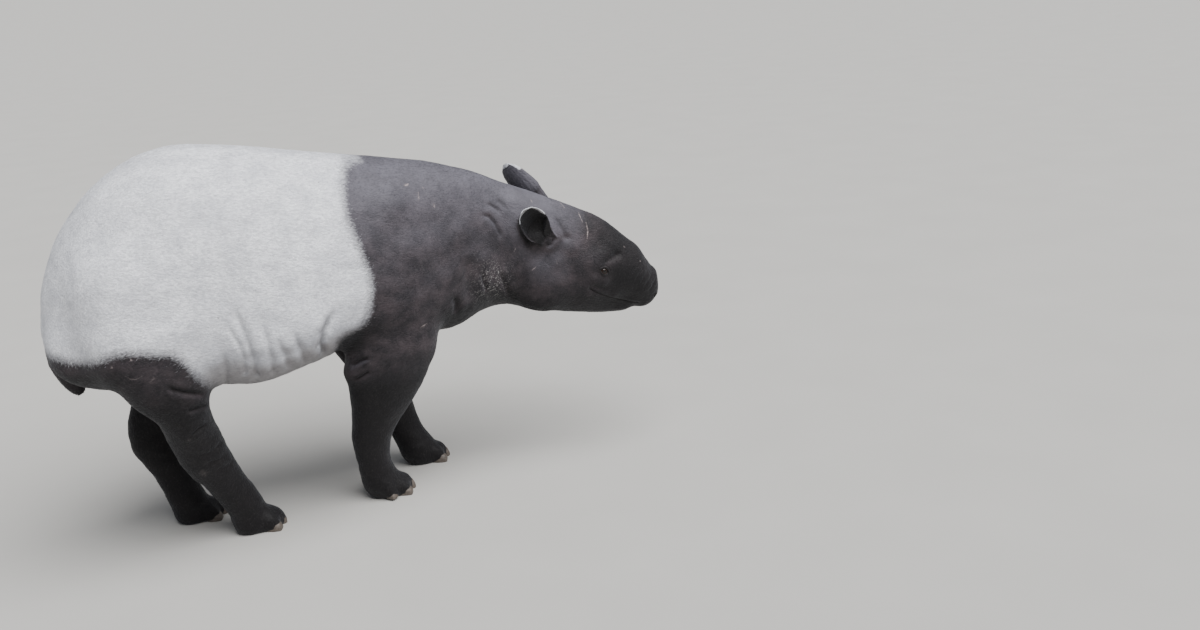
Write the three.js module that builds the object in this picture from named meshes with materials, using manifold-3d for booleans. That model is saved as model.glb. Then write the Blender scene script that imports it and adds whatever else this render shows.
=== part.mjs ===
// A malayan tapir at life size, standing with its head lowered to feed, as a still museum model.
// Millimetres, +Z up, +X towards the snout, +Y to the animal's left. While it is built, x = 0 lies midway
// between the hind feet; the group is then moved so that its origin is the middle of its footprint.
import * as THREE from "three";
import { mergeVertices } from "three/addons/utils/BufferGeometryUtils.js";
import Module from "manifold-3d";

const wasm = await Module();
wasm.setup();

// Driving dimensions
const RUMP_HEIGHT = 1088;
const BELLY_HEIGHT = 424;
const BODY_HALF_WIDTH = 268;
const RUMP_LENGTH = 394; // from the middle of the haunches to the rear of the rump
const LEG_CUT_HEIGHT = 396; // where each leg parts from the torso
const TORSO_CUTS = [140, 335]; // between hindquarters and barrel, and between barrel and shoulders
const NECK_CUT_X = 745;
const NECK_CUT_LEAN = 0.2; // how far the cut between torso and neck leans forwards, per millimetre of height
const HEAD_CUT_X = 925;
const PROBOSCIS_CUT_X = 1306;
const GAP = 0.3; // between touching pieces
const HEAD_TURN = THREE.MathUtils.degToRad(-17); // the face turns to the animal's right
const HEAD_LIFT = THREE.MathUtils.degToRad(1.8); // the snout is carried a little higher
const HEAD_ROLL = THREE.MathUtils.degToRad(8); // the crown leans to the animal's right
const HEAD_PIVOT = new THREE.Vector3(860, 0, 640);
const BEND_START_X = 800;
const BEND_END_X = 990;

const vec = (x, y, z) => new THREE.Vector3(x, y, z);
const mix = (a, b, t) => a + (b - a) * t;
const clamp01 = (t) => Math.min(1, Math.max(0, t));
const smooth = (t) => clamp01(t) ** 2 * (3 - 2 * clamp01(t));

// Trunk from rump to forehead: upright oval sections along x, each with its top, bottom, half width and
// the height at which it is widest.
const TRUNK = [
  { x: 30, top: RUMP_HEIGHT, bottom: BELLY_HEIGHT + 14, half: 250, widest: 640 },
  { x: 150, top: RUMP_HEIGHT - 14, bottom: BELLY_HEIGHT, half: BODY_HALF_WIDTH, widest: 620 },
  { x: 280, top: 1048, bottom: 453, half: 266, widest: 622 },
  { x: 400, top: 1020, bottom: 482, half: 250, widest: 636 },
  { x: 520, top: 995, bottom: 480, half: 226, widest: 650 },
  { x: 640, top: 970, bottom: 456, half: 198, widest: 655 },
  { x: 730, top: 949, bottom: 452, half: 172, widest: 655 },
  { x: 830, top: 914, bottom: 483, half: 144, widest: 650 },
  { x: 912, top: 878, bottom: 487, half: 128, widest: 640 },
  { x: 992, top: 843, bottom: 472, half: 120, widest: 615 },
  { x: 1076, top: 801, bottom: 450, half: 112, widest: 586 },
  { x: 1166, top: 752, bottom: 442, half: 97, widest: 556 },
  { x: 1245, top: 701, bottom: 462, half: 81, widest: 545 },
  { x: 1308, top: 634, bottom: 476, half: 61, widest: 524 },
  { x: 1345, top: 592, bottom: 466, half: 46, widest: 504 },
  { x: 1374, top: 504, bottom: 456, half: 26, widest: 470 },
];
const FOREHEAD_CAP = 12;
const RUMP_ROUNDING = 1.85; // the exponent of the oval that closes the rump
const ROUND_ABOVE = 2.2; // superellipse exponents of a section above and below its widest height
const ROUND_BELOW = 2.35;
const CREST_ABOVE = 1.75; // the head's sections are narrower along the crest

// Value of one key of the stations at x, by a cubic through them that is level at the rear end.
function along(stations, key, x) {
  const last = stations.length - 1;
  if (x <= stations[0].x) return stations[0][key];
  if (x >= stations[last].x) return stations[last][key];
  let i = 0;
  while (x > stations[i + 1].x) i++;
  const slope = (k) => {
    const [from, to] = [stations[k - 1], stations[Math.min(k + 1, last)]];
    return k === 0 ? 0 : (to[key] - from[key]) / (to.x - from.x);
  };
  const span = stations[i + 1].x - stations[i].x;
  const t = (x - stations[i].x) / span;
  const [a, b] = [stations[i][key], stations[i + 1][key]];
  return (
    a * (1 + 2 * t) * (1 - t) ** 2 +
    b * t * t * (3 - 2 * t) +
    span * (slope(i) * t * (1 - t) ** 2 - slope(i + 1) * t * t * (1 - t))
  );
}

// Approximate distance to the trunk. Past either end the last section closes as half an ellipsoid.
function trunkDistance(p) {
  const [first, last] = [TRUNK[0], TRUNK[TRUNK.length - 1]];
  const widest = along(TRUNK, "widest", p.x);
  const half = along(TRUNK, "half", p.x);
  const above = p.z > widest;
  const height = Math.abs(along(TRUNK, above ? "top" : "bottom", p.x) - widest);
  const crest = smooth((p.x - 780) / 300);
  const power = above ? mix(ROUND_ABOVE, CREST_ABOVE, crest) : ROUND_BELOW;
  const [v, w] = [Math.abs(p.y) / half, Math.abs(p.z - widest) / height];
  const section = Math.max((v ** power + w ** power) ** (1 / power), 1e-6);
  let [gy, gz] = [v ** (power - 1) / half, w ** (power - 1) / height];
  const scale = section ** (1 - power);
  gy *= scale;
  gz *= scale;
  const beyond = p.x < first.x ? (p.x - first.x) / RUMP_LENGTH : Math.max(p.x - last.x, 0) / FOREHEAD_CAP;
  const [cap, round] = p.x < first.x ? [RUMP_LENGTH, RUMP_ROUNDING] : [FOREHEAD_CAP, 2];
  const size = (section ** round + Math.abs(beyond) ** round) ** (1 / round);
  const across = (section / size) ** (round - 1);
  const steep = Math.hypot(gy * across, gz * across, (Math.abs(beyond) / size) ** (round - 1) / cap);
  return (size - 1) / Math.max(steep, 1e-4);
}

// Approximate distance to an ellipsoid from the offset q to its centre, along its own axes.
function ovalDistance(q, r) {
  const near = Math.hypot(q.x / r.x, q.y / r.y, q.z / r.z);
  const steep = Math.hypot(q.x / r.x ** 2, q.y / r.y ** 2, q.z / r.z ** 2);
  return steep < 1e-9 ? -Math.min(r.x, r.y, r.z) : (near * (near - 1)) / steep;
}

const smoothMin = (a, b, k) => Math.min(a, b) - Math.max(k - Math.abs(a - b), 0) ** 2 / (4 * k);

// A limb is a chain of points, each with the radius fore and aft and the radius sideways.
const SIDEWAYS = vec(0, 1, 0);
function limbDistance(chain, p) {
  let found = Infinity;
  for (let i = 0; i + 1 < chain.length; i++) {
    const [a, b] = [chain[i], chain[i + 1]];
    const w = b.at.clone().sub(a.at);
    const length = w.length();
    w.divideScalar(length);
    const u = SIDEWAYS.clone().cross(w).normalize();
    const v = w.clone().cross(u);
    const offset = p.clone().sub(a.at);
    const ahead = offset.dot(w);
    const taper = Math.max(-0.7, Math.min(0.7, (a.deep - b.deep) / length));
    const aside = Math.sqrt(Math.max(offset.lengthSq() - ahead ** 2, 0));
    const t = clamp01((ahead - (aside * taper) / Math.sqrt(1 - taper ** 2)) / length);
    offset.addScaledVector(w, -t * length);
    const [ru, rv] = [mix(a.deep, b.deep, t), mix(a.wide, b.wide, t)];
    const q = vec(offset.dot(u), offset.dot(v), offset.dot(w));
    found = Math.min(found, ovalDistance(q, vec(ru, rv, (ru + rv) / 2)));
  }
  return found;
}

const station = (x, y, z, deep, wide) => ({ at: vec(x, y, z), deep, wide });

// Legs: each is its chain from the shoulder or hip down, with its foot's middle and its toes.
// side is -1 for the animal's right and +1 for its left.
const FOOT = { length: 60, width: 48, height: 46, middle: 26, blend: 34 }; // half sizes round its middle
function foreLeg(name, side, forward) {
  const s = (x, y, z, deep, wide) => station(x + forward(z), side * y, z, deep, wide);
  return {
    name,
    side,
    forward,
    chain: [
      s(545, 128, 740, 95, 62),
      s(530, 142, 600, 128, 78),
      s(512, 140, 480, 134, 78),
      s(489, 130, 400, 119, 70),
      s(463, 119, 320, 94, 59),
      s(440, 109, 255, 69, 50),
      s(425, 100, 200, 59, 47),
      s(423, 91, 125, 51, 42),
      s(434, 84, 70, 51, 47),
    ],
    fore: true,
  };
}
function hindLeg(name, side, forward) {
  const s = (x, y, z, deep, wide) => station(x + forward(z), side * y, z, deep, wide);
  return {
    name,
    side,
    forward,
    chain: [
      s(-110, 128, 760, 170, 95),
      s(-122, 150, 620, 160, 100),
      s(-104, 154, 520, 112, 94),
      s(-78, 150, 440, 77, 80),
      s(-67, 141, 365, 64, 66),
      s(-48, 130, 300, 68, 54),
      s(-31, 119, 250, 64, 47),
      s(-4, 106, 195, 55, 43),
      s(20, 96, 142, 51, 41),
      s(46, 87, 88, 51, 46),
    ],
    fore: false,
  };
}
const steady = () => 0;
const stepForward = (z) => 172 * smooth(1.05 - z / 520) ** 0.8; // the left forefoot stands ahead
const stepBack = (z) =>
  -20 * smooth((700 - z) / 200) - 95 * smooth((430 - z) / 200) - 30 * smooth(1 - z / 230);
const LEGS = [
  foreLeg("foreleg_right", -1, steady),
  foreLeg("foreleg_left", 1, stepForward),
  hindLeg("hind_leg_right", -1, steady),
  hindLeg("hind_leg_left", 1, stepBack),
];

// Feet: three toes point forwards and fan a little, and a small fourth one stands higher on the outside
// of each forefoot. Each is a lobe of flesh that ends in a hoof.
const TOES = [
  { ahead: 88, across: 0, turn: 0, share: 1, rise: 0 },
  { ahead: 66, across: -47, turn: -0.42, share: 0.86, rise: 0 },
  { ahead: 66, across: 47, turn: 0.42, share: 0.86, rise: 0 },
];
const OUTER_TOE = { ahead: 8, across: 66, turn: 0.95, share: 0.66, rise: 5 };
const TOE_RADIUS = 25;
const HOOF = { length: 52, width: 41, height: 38 };
for (const leg of LEGS) {
  const ankle = leg.chain[leg.chain.length - 1];
  leg.sole = vec(ankle.at.x + 22, ankle.at.y - leg.side * 3, 0);
  const toes = leg.fore ? [...TOES, OUTER_TOE] : TOES;
  leg.digits = toes.map(({ ahead, across, turn, share, rise }) => ({
    way: vec(Math.cos(turn), leg.side * Math.sin(turn), 0),
    tip: leg.sole.clone().add(vec(ahead, leg.side * across, rise)),
    share,
    rise,
  }));
}

function footDistance(leg, p) {
  const middle = p.clone().sub(vec(leg.sole.x, leg.sole.y, FOOT.middle));
  let found = ovalDistance(middle, vec(FOOT.length, FOOT.width, FOOT.height));
  for (const digit of leg.digits) {
    const centre = digit.tip.clone().addScaledVector(digit.way, -40 * digit.share).setZ(digit.rise + 24);
    const q = p.clone().sub(centre);
    const [ahead, across] = [q.dot(digit.way), q.dot(vec(-digit.way.y, digit.way.x, 0))];
    const lobe = vec(34, TOE_RADIUS, 29).multiplyScalar(digit.share);
    found = smoothMin(found, ovalDistance(vec(ahead, across, q.z), lobe), 9);
  }
  return found;
}

// The elbow, a pad of skin and muscle behind the top of each foreleg
const ELBOW = { back: 396, side: 134, z: 416, r: vec(42, 44, 33), blend: 16 };
function legDistance(leg, p) {
  const limb = smoothMin(limbDistance(leg.chain, p), footDistance(leg, p), FOOT.blend);
  if (!leg.fore) return limb;
  const elbow = vec(ELBOW.back + leg.forward(ELBOW.z), leg.side * ELBOW.side, ELBOW.z);
  return smoothMin(limb, ovalDistance(p.clone().sub(elbow), ELBOW.r), ELBOW.blend);
}

// Head: muzzle, lower jaw, cheeks and brows, in the head's unturned place.
const PROBOSCIS = [
  station(1180, 0, 560, 108, 82),
  station(1262, 0, 520, 92, 67),
  station(1314, 0, 480, 79, 56),
  station(1339, 0, 448, 53, 46),
];
const JAW = [
  station(978, 0, 530, 66, 86),
  station(1095, 0, 487, 62, 74),
  station(1203, 0, 450, 50, 54),
  station(1266, 0, 430, 37, 40),
];
const oval = (x, y, z, rx, ry, rz) => ({ at: vec(x, y, z), r: vec(rx, ry, rz) });
const EYE = vec(1209, 88.5, 574);
const EYE_RADIUS = 14;
const HEAD_OVALS = [
  oval(1025, 72, 545, 80, 48, 78), // cheek
  oval(1192, 66, 600, 42, 26, 24), // brow
  oval(1147, 70, 540, 63, 28, 34), // cheekbone
  oval(1035, 70, 708, 44, 34, 40), // root of the ear
];

const REAR_OVALS = [
  oval(-232, 58, 604, 134, 92, 110), // buttock, down to the root of the tail
];

// Between leg and trunk, tight where the leg leaves the belly
const FILLET = { low: 20, high: 46, rise: 130 };
const BLEND = { proboscis: 46, jaw: 26, head: 34, rear: 40 }; // how widely each form melts into the trunk
const HEAD_FROM = 850; // no form of the head reaches behind it
const LEGS_UP_TO = 900; // no leg reaches ahead of it

// Signed distance to all the flesh, negative inside, before the head is turned.
function flesh(p) {
  let found = trunkDistance(p);
  const q = vec(p.x, Math.abs(p.y), p.z);
  if (p.x > HEAD_FROM) {
    found = smoothMin(found, limbDistance(PROBOSCIS, p), BLEND.proboscis);
    found = smoothMin(found, limbDistance(JAW, p), BLEND.jaw);
    for (const o of HEAD_OVALS) found = smoothMin(found, ovalDistance(q.clone().sub(o.at), o.r), BLEND.head);
  }
  if (p.x < LEGS_UP_TO) {
    const fillet = mix(FILLET.low, FILLET.high, smooth((p.z - BELLY_HEIGHT) / FILLET.rise));
    for (const leg of LEGS) {
      found = smoothMin(found, legDistance(leg, p), fillet);
    }
    for (const o of REAR_OVALS) found = smoothMin(found, ovalDistance(q.clone().sub(o.at), o.r), BLEND.rear);
  }
  return found;
}

// The head's turn: nothing at BEND_START_X, all of it from BEND_END_X on.
function turned(p) {
  const share = smooth((p.x - BEND_START_X) / (BEND_END_X - BEND_START_X));
  const turn = new THREE.Euler(HEAD_ROLL * share, -HEAD_LIFT * share, HEAD_TURN * share, "ZYX");
  return p.clone().sub(HEAD_PIVOT).applyEuler(turn).add(HEAD_PIVOT);
}

// A closed geometry from points and triangles, turned outwards if need be.
function closedGeometry(points, triangles) {
  let volume = 0;
  for (const [a, b, c] of triangles) volume += points[a].dot(points[b].clone().cross(points[c]));
  const faces = volume < 0 ? triangles.map(([a, b, c]) => [a, c, b]) : triangles;
  const geometry = new THREE.BufferGeometry();
  const position = new Float32Array(points.flatMap((p) => [p.x, p.y, p.z]));
  geometry.setAttribute("position", new THREE.BufferAttribute(position, 3));
  geometry.setIndex(faces.flat());
  return geometry;
}

// A loft through rings of equally many points, closed at each end by a fan round the given end points.
function loft(rings, start, end) {
  const n = rings[0].length;
  const points = [...rings.flat(), start, end];
  const triangles = [];
  for (let i = 0; i + 1 < rings.length; i++) {
    for (let j = 0; j < n; j++) {
      const [a, b] = [i * n + j, i * n + ((j + 1) % n)];
      triangles.push([a, b, b + n], [a, b + n, a + n]);
    }
  }
  const foot = (rings.length - 1) * n;
  for (let j = 0; j < n; j++) {
    const k = (j + 1) % n;
    triangles.push([points.length - 2, k, j], [points.length - 1, foot + j, foot + k]);
  }
  return closedGeometry(points, triangles);
}

// Distance from a point inside the flesh to its surface along a direction.
const CAST_STEP = 9;
const FARTHEST = 420;
function cast(from, way, field) {
  let [inside, outside] = [0, CAST_STEP];
  while (outside < FARTHEST && field(from.clone().addScaledVector(way, outside)) < 0) {
    inside = outside;
    outside += CAST_STEP;
  }
  for (let k = 0; k < 12; k++) {
    const middle = (inside + outside) / 2;
    if (field(from.clone().addScaledVector(way, middle)) < 0) inside = middle;
    else outside = middle;
  }
  return from.clone().addScaledVector(way, outside);
}

// One ring round a centre, in the plane of two directions.
function ring(centre, u, v, count, field) {
  return Array.from({ length: count }, (_, j) => {
    const angle = (2 * Math.PI * (j + 0.5)) / count;
    const way = u.clone().multiplyScalar(Math.cos(angle)).addScaledVector(v, Math.sin(angle));
    return cast(centre, way, field);
  });
}

// Manifold solids and back
function solid(geometry) {
  const bare = new THREE.BufferGeometry().setAttribute("position", geometry.getAttribute("position"));
  if (geometry.index) bare.setIndex(geometry.index);
  const merged = mergeVertices(bare, 1e-3);
  return new wasm.Manifold(
    new wasm.Mesh({
      numProp: 3,
      vertProperties: new Float32Array(merged.attributes.position.array),
      triVerts: new Uint32Array(merged.index.array),
    }),
  );
}
function geometryOf(manifold) {
  const largest = manifold.decompose().sort((a, b) => b.volume() - a.volume())[0];
  const mesh = largest.getMesh();
  const geometry = new THREE.BufferGeometry();
  geometry.setAttribute("position", new THREE.BufferAttribute(new Float32Array(mesh.vertProperties), 3));
  geometry.setIndex(new THREE.BufferAttribute(new Uint32Array(mesh.triVerts), 1));
  return geometry;
}

// The same surface moved outwards by a little, for cutting what grows from it.
function swollen(geometry, by = GAP) {
  const copy = mergeVertices(
    new THREE.BufferGeometry()
      .setAttribute("position", geometry.getAttribute("position"))
      .setIndex(geometry.index),
    1e-3,
  );
  copy.computeVertexNormals();
  const [position, normal] = [copy.attributes.position, copy.attributes.normal];
  for (let i = 0; i < position.count; i++) {
    const moved = new THREE.Vector3()
      .fromBufferAttribute(position, i)
      .addScaledVector(new THREE.Vector3().fromBufferAttribute(normal, i), by);
    position.setXYZ(i, moved.x, moved.y, moved.z);
  }
  return copy;
}

// All that lies on the side of a plane that its normal points away from, as a big box.
function halfSpace(point, normal) {
  const size = 5000;
  const box = new THREE.BoxGeometry(size, size, size);
  box.translate(0, 0, -size / 2);
  const turn = new THREE.Quaternion().setFromUnitVectors(vec(0, 0, 1), normal.clone().normalize());
  box.applyQuaternion(turn);
  box.translate(point.x, point.y, point.z);
  return solid(box);
}

// Surface nets: one vertex for each grid cell that the surface crosses, moved onto the surface, and one
// pair of triangles for each grid edge that it crosses.
function netOf(field, xs, ys, zs) {
  const [nx, ny, nz] = [xs.length, ys.length, zs.length];
  const at = (i, j, k) => (i * ny + j) * nz + k;
  const values = new Float64Array(nx * ny * nz);
  for (let i = 0; i < nx; i++)
    for (let j = 0; j < ny; j++)
      for (let k = 0; k < nz; k++) {
        const edge = i === 0 || j === 0 || k === 0 || i === nx - 1 || j === ny - 1 || k === nz - 1;
        values[at(i, j, k)] = edge ? 1 : field(vec(xs[i], ys[j], zs[k]));
      }
  const points = [];
  const cellPoint = new Map();
  const corners = [0, 1].flatMap((a) => [0, 1].flatMap((b) => [0, 1].map((c) => [a, b, c])));
  const edges = corners.flatMap((a) =>
    corners
      .filter((b) => b.every((s, d) => s >= a[d]) && b[0] + b[1] + b[2] === a[0] + a[1] + a[2] + 1)
      .map((b) => [a, b]),
  );
  for (let i = 0; i + 1 < nx; i++)
    for (let j = 0; j + 1 < ny; j++)
      for (let k = 0; k + 1 < nz; k++) {
        const sum = vec(0, 0, 0);
        let crossings = 0;
        for (const [a, b] of edges) {
          const va = values[at(i + a[0], j + a[1], k + a[2])];
          const vb = values[at(i + b[0], j + b[1], k + b[2])];
          if (va < 0 === vb < 0) continue;
          const t = va / (va - vb);
          sum.x += mix(xs[i + a[0]], xs[i + b[0]], t);
          sum.y += mix(ys[j + a[1]], ys[j + b[1]], t);
          sum.z += mix(zs[k + a[2]], zs[k + b[2]], t);
          crossings++;
        }
        if (!crossings) continue;
        cellPoint.set(at(i, j, k), points.length);
        const rim = i === 0 || j === 0 || k === 0 || i === nx - 2 || j === ny - 2 || k === nz - 2;
        const middle = sum.divideScalar(crossings);
        points.push(rim ? middle : onSurface(middle, field));
      }
  const triangles = [];
  const quad = (a, b, c, d, flip) => {
    const [p, q, r, s] = [a, b, c, d].map((cell) => cellPoint.get(cell));
    const short = points[p].distanceTo(points[r]) < points[q].distanceTo(points[s]);
    const pair = short
      ? [
          [p, q, r],
          [p, r, s],
        ]
      : [
          [p, q, s],
          [q, r, s],
        ];
    triangles.push(...(flip ? pair.map(([x, y, z]) => [x, z, y]) : pair));
  };
  for (let i = 1; i + 1 < nx; i++)
    for (let j = 1; j + 1 < ny; j++)
      for (let k = 1; k + 1 < nz; k++) {
        const here = values[at(i, j, k)] < 0;
        const [i1, j1, k1] = [i - 1, j - 1, k - 1];
        if (here !== values[at(i + 1, j, k)] < 0)
          quad(at(i, j1, k1), at(i, j, k1), at(i, j, k), at(i, j1, k), !here);
        if (here !== values[at(i, j + 1, k)] < 0)
          quad(at(i1, j, k1), at(i1, j, k), at(i, j, k), at(i, j, k1), !here);
        if (here !== values[at(i, j, k + 1)] < 0)
          quad(at(i1, j1, k), at(i, j1, k), at(i, j, k), at(i1, j, k), !here);
        if (i === 1 && values[at(i, j, k)] < 0)
          quad(at(0, j1, k1), at(0, j, k1), at(0, j, k), at(0, j1, k), true);
        if (j === 1 && values[at(i, j, k)] < 0)
          quad(at(i1, 0, k1), at(i1, 0, k), at(i, 0, k), at(i, 0, k1), true);
        if (k === 1 && values[at(i, j, k)] < 0)
          quad(at(i1, j1, 0), at(i, j1, 0), at(i, j, 0), at(i1, j, 0), true);
      }
  return closedGeometry(points, triangles);
}
function onSurface(p, field) {
  const reach = 2;
  for (let n = 0; n < 4; n++) {
    const d = field(p);
    const slope = vec(
      field(vec(p.x + reach, p.y, p.z)) - field(vec(p.x - reach, p.y, p.z)),
      field(vec(p.x, p.y + reach, p.z)) - field(vec(p.x, p.y - reach, p.z)),
      field(vec(p.x, p.y, p.z + reach)) - field(vec(p.x, p.y, p.z - reach)),
    ).divideScalar(2 * reach);
    const step = Math.max(-6, Math.min(6, -d / Math.max(slope.lengthSq(), 0.2)));
    p.addScaledVector(slope, step);
  }
  return p;
}

// Grid lines from the first value to the last, where each stretch has its own spacing.
function lines(start, ...stretches) {
  const found = [start];
  for (const [end, spacing] of stretches) {
    const from = found[found.length - 1];
    const count = Math.max(1, Math.round((end - from) / spacing));
    for (let i = 1; i <= count; i++) found.push(mix(from, end, i / count));
  }
  return found;
}

// A round tapering tube through points, closed by a point a little past each end.
function tube(points, radii, sides) {
  const curve = new THREE.CatmullRomCurve3(points);
  const steps = radii.length - 1;
  const rings = radii.map((radius, i) => {
    const t = i / steps;
    const [centre, way] = [curve.getPoint(t), curve.getTangent(t)];
    const u = SIDEWAYS.clone().cross(way).normalize();
    const v = way.clone().cross(u);
    return Array.from({ length: sides }, (_, j) => {
      const angle = (2 * Math.PI * j) / sides;
      return centre
        .clone()
        .addScaledVector(u, radius * Math.cos(angle))
        .addScaledVector(v, radius * Math.sin(angle));
    });
  });
  const past = (t, sign, radius) =>
    curve.getPoint(t).addScaledVector(curve.getTangent(t), sign * radius * 0.6);
  return loft(rings, past(0, -1, radii[0]), past(1, 1, radii[steps]));
}

// Torso, with a short stump over each leg, in three pieces
const TORSO_PIECES = ["hindquarters", "barrel", "shoulders"];
const neckCutNormal = vec(1, 0, -NECK_CUT_LEAN).normalize();
const neckCutPoint = vec(NECK_CUT_X, 0, 700);
function torsoSolid() {
  const xs = lines(-440, [-280, 35], [140, 42], [320, 60], [440, 30], [850, 48]);
  const ys = lines(-345, [-30, 40], [30, 60], [345, 40]);
  const zs = lines(340, [500, 25], [960, 55], [1180, 44]);
  return solid(netOf(flesh, xs, ys, zs))
    .intersect(halfSpace(neckCutPoint, neckCutNormal))
    .intersect(halfSpace(vec(0, 0, LEG_CUT_HEIGHT + GAP / 2), vec(0, 0, -1)));
}

// Neck and head: rings round an axis, in planes that stand up straight from the head's cut on
const HEAD_SIDES = 32;
const axisHeight = (x) => (x < 1130 ? mix(690, 600, (x - 745) / 385) : mix(600, 442, (x - 1130) / 290));
function neckGeometry() {
  const count = 8;
  const rings = [];
  let [start, end] = [null, null];
  for (let i = 0; i <= count; i++) {
    const t = i / count;
    const back = NECK_CUT_X + NECK_CUT_LEAN * (axisHeight(NECK_CUT_X) - 700) + GAP;
    const x = mix(back, HEAD_CUT_X - GAP, t);
    const centre = vec(x, 0, axisHeight(x));
    const up = vec(NECK_CUT_LEAN * (1 - t), 0, 1).normalize();
    rings.push(ring(centre, vec(0, 1, 0), up, HEAD_SIDES, flesh).map(turned));
    if (i === 0) start = turned(centre);
    if (i === count) end = turned(centre);
  }
  return loft(rings, start, end);
}
function headRings(from, to, count, spread = (t) => t) {
  return Array.from({ length: count + 1 }, (_, i) => {
    const x = mix(from, to, spread(i / count));
    return ring(vec(x, 0, axisHeight(x)), vec(0, 1, 0), vec(0, 0, 1), HEAD_SIDES, flesh).map(turned);
  });
}
function headGeometry() {
  const onAxis = (x) => turned(vec(x, 0, axisHeight(x)));
  const rings = headRings(HEAD_CUT_X, PROBOSCIS_CUT_X - GAP, 20);
  return loft(rings, onAxis(HEAD_CUT_X), onAxis(PROBOSCIS_CUT_X - GAP));
}
function proboscisGeometry() {
  const tip = cast(vec(1345, 0, 450), vec(1, 0, -0.05).normalize(), flesh);
  const rings = headRings(PROBOSCIS_CUT_X, tip.x - 2.5, 11, (t) => Math.sin((t * Math.PI) / 2));
  return loft(rings, turned(vec(PROBOSCIS_CUT_X, 0, axisHeight(PROBOSCIS_CUT_X))), turned(tip));
}

const mirrored = (p, side) => vec(p.x, p.y * side, p.z);

// Eyes, and the lids that close round each
function eyeFrame(side) {
  const centre = mirrored(EYE, side);
  const out = vec(0.3, side, 0.16).normalize();
  const along = vec(1, 0, -0.52).addScaledVector(out, -vec(1, 0, -0.52).dot(out)).normalize();
  const up = along.clone().cross(out).multiplyScalar(side).normalize();
  return { centre, out, along, up: up.z < 0 ? up.negate() : up };
}
const LIDS = [
  { opening: 0.84, thickness: 4.4 }, // upper: how far it opens, as an angle, and its radius in the middle
  { opening: -0.74, thickness: 4 }, // lower
];
const SLIT = 0.85; // half the angle between the corners of the eye
function lid(side, { opening, thickness }) {
  const { centre, out, along, up } = eyeFrame(side);
  const steps = 8;
  const path = Array.from({ length: steps + 1 }, (_, i) => {
    const t = (2 * i) / steps - 1;
    const [swing, lift] = [t * SLIT, opening * (1 - t * t)];
    const way = out
      .clone()
      .multiplyScalar(Math.cos(swing) * Math.cos(lift))
      .addScaledVector(along, Math.sin(swing) * Math.cos(lift))
      .addScaledVector(up, Math.sin(lift));
    return turned(centre.clone().addScaledVector(way, EYE_RADIUS + 1));
  });
  const radii = path.map((_, i) => thickness * (0.6 + 0.4 * Math.sin((Math.PI * i) / steps)));
  return tube(path, radii, 7);
}
function eyeSphere(side, radius) {
  const ball = new THREE.SphereGeometry(radius, 16, 12);
  const at = turned(eyeFrame(side).centre);
  return ball.translate(at.x, at.y, at.z);
}

// Ears: a cup that opens outwards and a little forwards, thick and closed at its root
const EAR = {
  length: 158,
  half: 47,
  blunt: 4.4, // the exponent that keeps its outline wide up to the tip
  wall: [6, 3], // thickness of the cup from root to tip
  open: [1.85, 1.35], // half the angle round its back that the cup takes, from root to tip
  deep: [0.95, 0.42], // depth of the cup as a share of its half width, from root to tip
};
const EARS = [
  { name: "ear_right", root: vec(1058, -97, 703), axis: vec(-0.5, -0.4, 0.77), face: vec(0.05, -0.93, 0.2) },
  { name: "ear_left", root: vec(1061, 88, 760), axis: vec(-0.64, 0.15, 0.86), face: vec(0.62, 0.72, 0.1) },
];
function earGeometry({ root, axis, face }) {
  const [rows, columns] = [9, 10];
  axis = axis.clone().normalize();
  face = face.clone().addScaledVector(axis, -face.dot(axis)).normalize();
  const across = axis.clone().cross(face);
  const points = [];
  for (const layer of [0, 1]) {
    for (let i = 0; i <= rows; i++) {
      const t = i / rows;
      const half = EAR.half * Math.min(1, 0.6 + 1.1 * t) * Math.sqrt(Math.max(1 - t ** EAR.blunt, 0.03));
      const hollow = smooth((t - 0.12) / 0.34);
      const wall = mix(half * 0.96, mix(...EAR.wall, t), hollow);
      const depth = half * mix(...EAR.deep, t);
      const open = mix(...EAR.open, t);
      for (let j = 0; j <= columns; j++) {
        const angle = open * ((2 * j) / columns - 1);
        const [w, d] = layer ? [half - wall, depth - wall * 0.95] : [half, depth];
        const p = root
          .clone()
          .addScaledVector(axis, t * EAR.length * (layer && t === 1 ? 0.985 : 1))
          .addScaledVector(across, w * Math.sin(angle))
          .addScaledVector(face, -Math.max(d, 0.5) * Math.cos(angle));
        points.push(turned(p));
      }
    }
  }
  const width = columns + 1;
  const inner = width * (rows + 1);
  const triangles = [];
  const quad = (a, b, c, d) => triangles.push([a, b, c], [a, c, d]);
  for (let i = 0; i < rows; i++) {
    for (let j = 0; j < columns; j++) {
      const a = i * width + j;
      quad(a, a + 1, a + width + 1, a + width);
      quad(inner + a + width, inner + a + width + 1, inner + a + 1, inner + a);
    }
    const [l, r] = [i * width, i * width + columns];
    quad(l, l + width, inner + l + width, inner + l);
    quad(r + width, r, inner + r, inner + r + width);
  }
  for (let j = 0; j < columns; j++) {
    const top = rows * width + j;
    quad(j + 1, j, inner + j, inner + j + 1);
    quad(top, top + 1, inner + top + 1, inner + top);
  }
  return closedGeometry(points, triangles);
}

// Mouth: the lower jaw is what lies under the line of the lips, in front of the corner of the mouth
const MOUTH_CORNER = vec(1152, 0, 528);
const MOUTH_FRONT = vec(1314, 0, 426);
function jawRegion(by) {
  const line = MOUTH_FRONT.clone().sub(MOUTH_CORNER).normalize();
  const up = vec(-line.z, 0, line.x);
  const above = turned(MOUTH_CORNER.clone().addScaledVector(up, by));
  const behind = turned(MOUTH_CORNER.clone().addScaledVector(line, -by));
  const turnedWay = (way) => turned(MOUTH_FRONT.clone().add(way)).sub(turned(MOUTH_FRONT));
  return halfSpace(above, turnedWay(up)).intersect(halfSpace(behind, turnedWay(line.clone().negate())));
}
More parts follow.
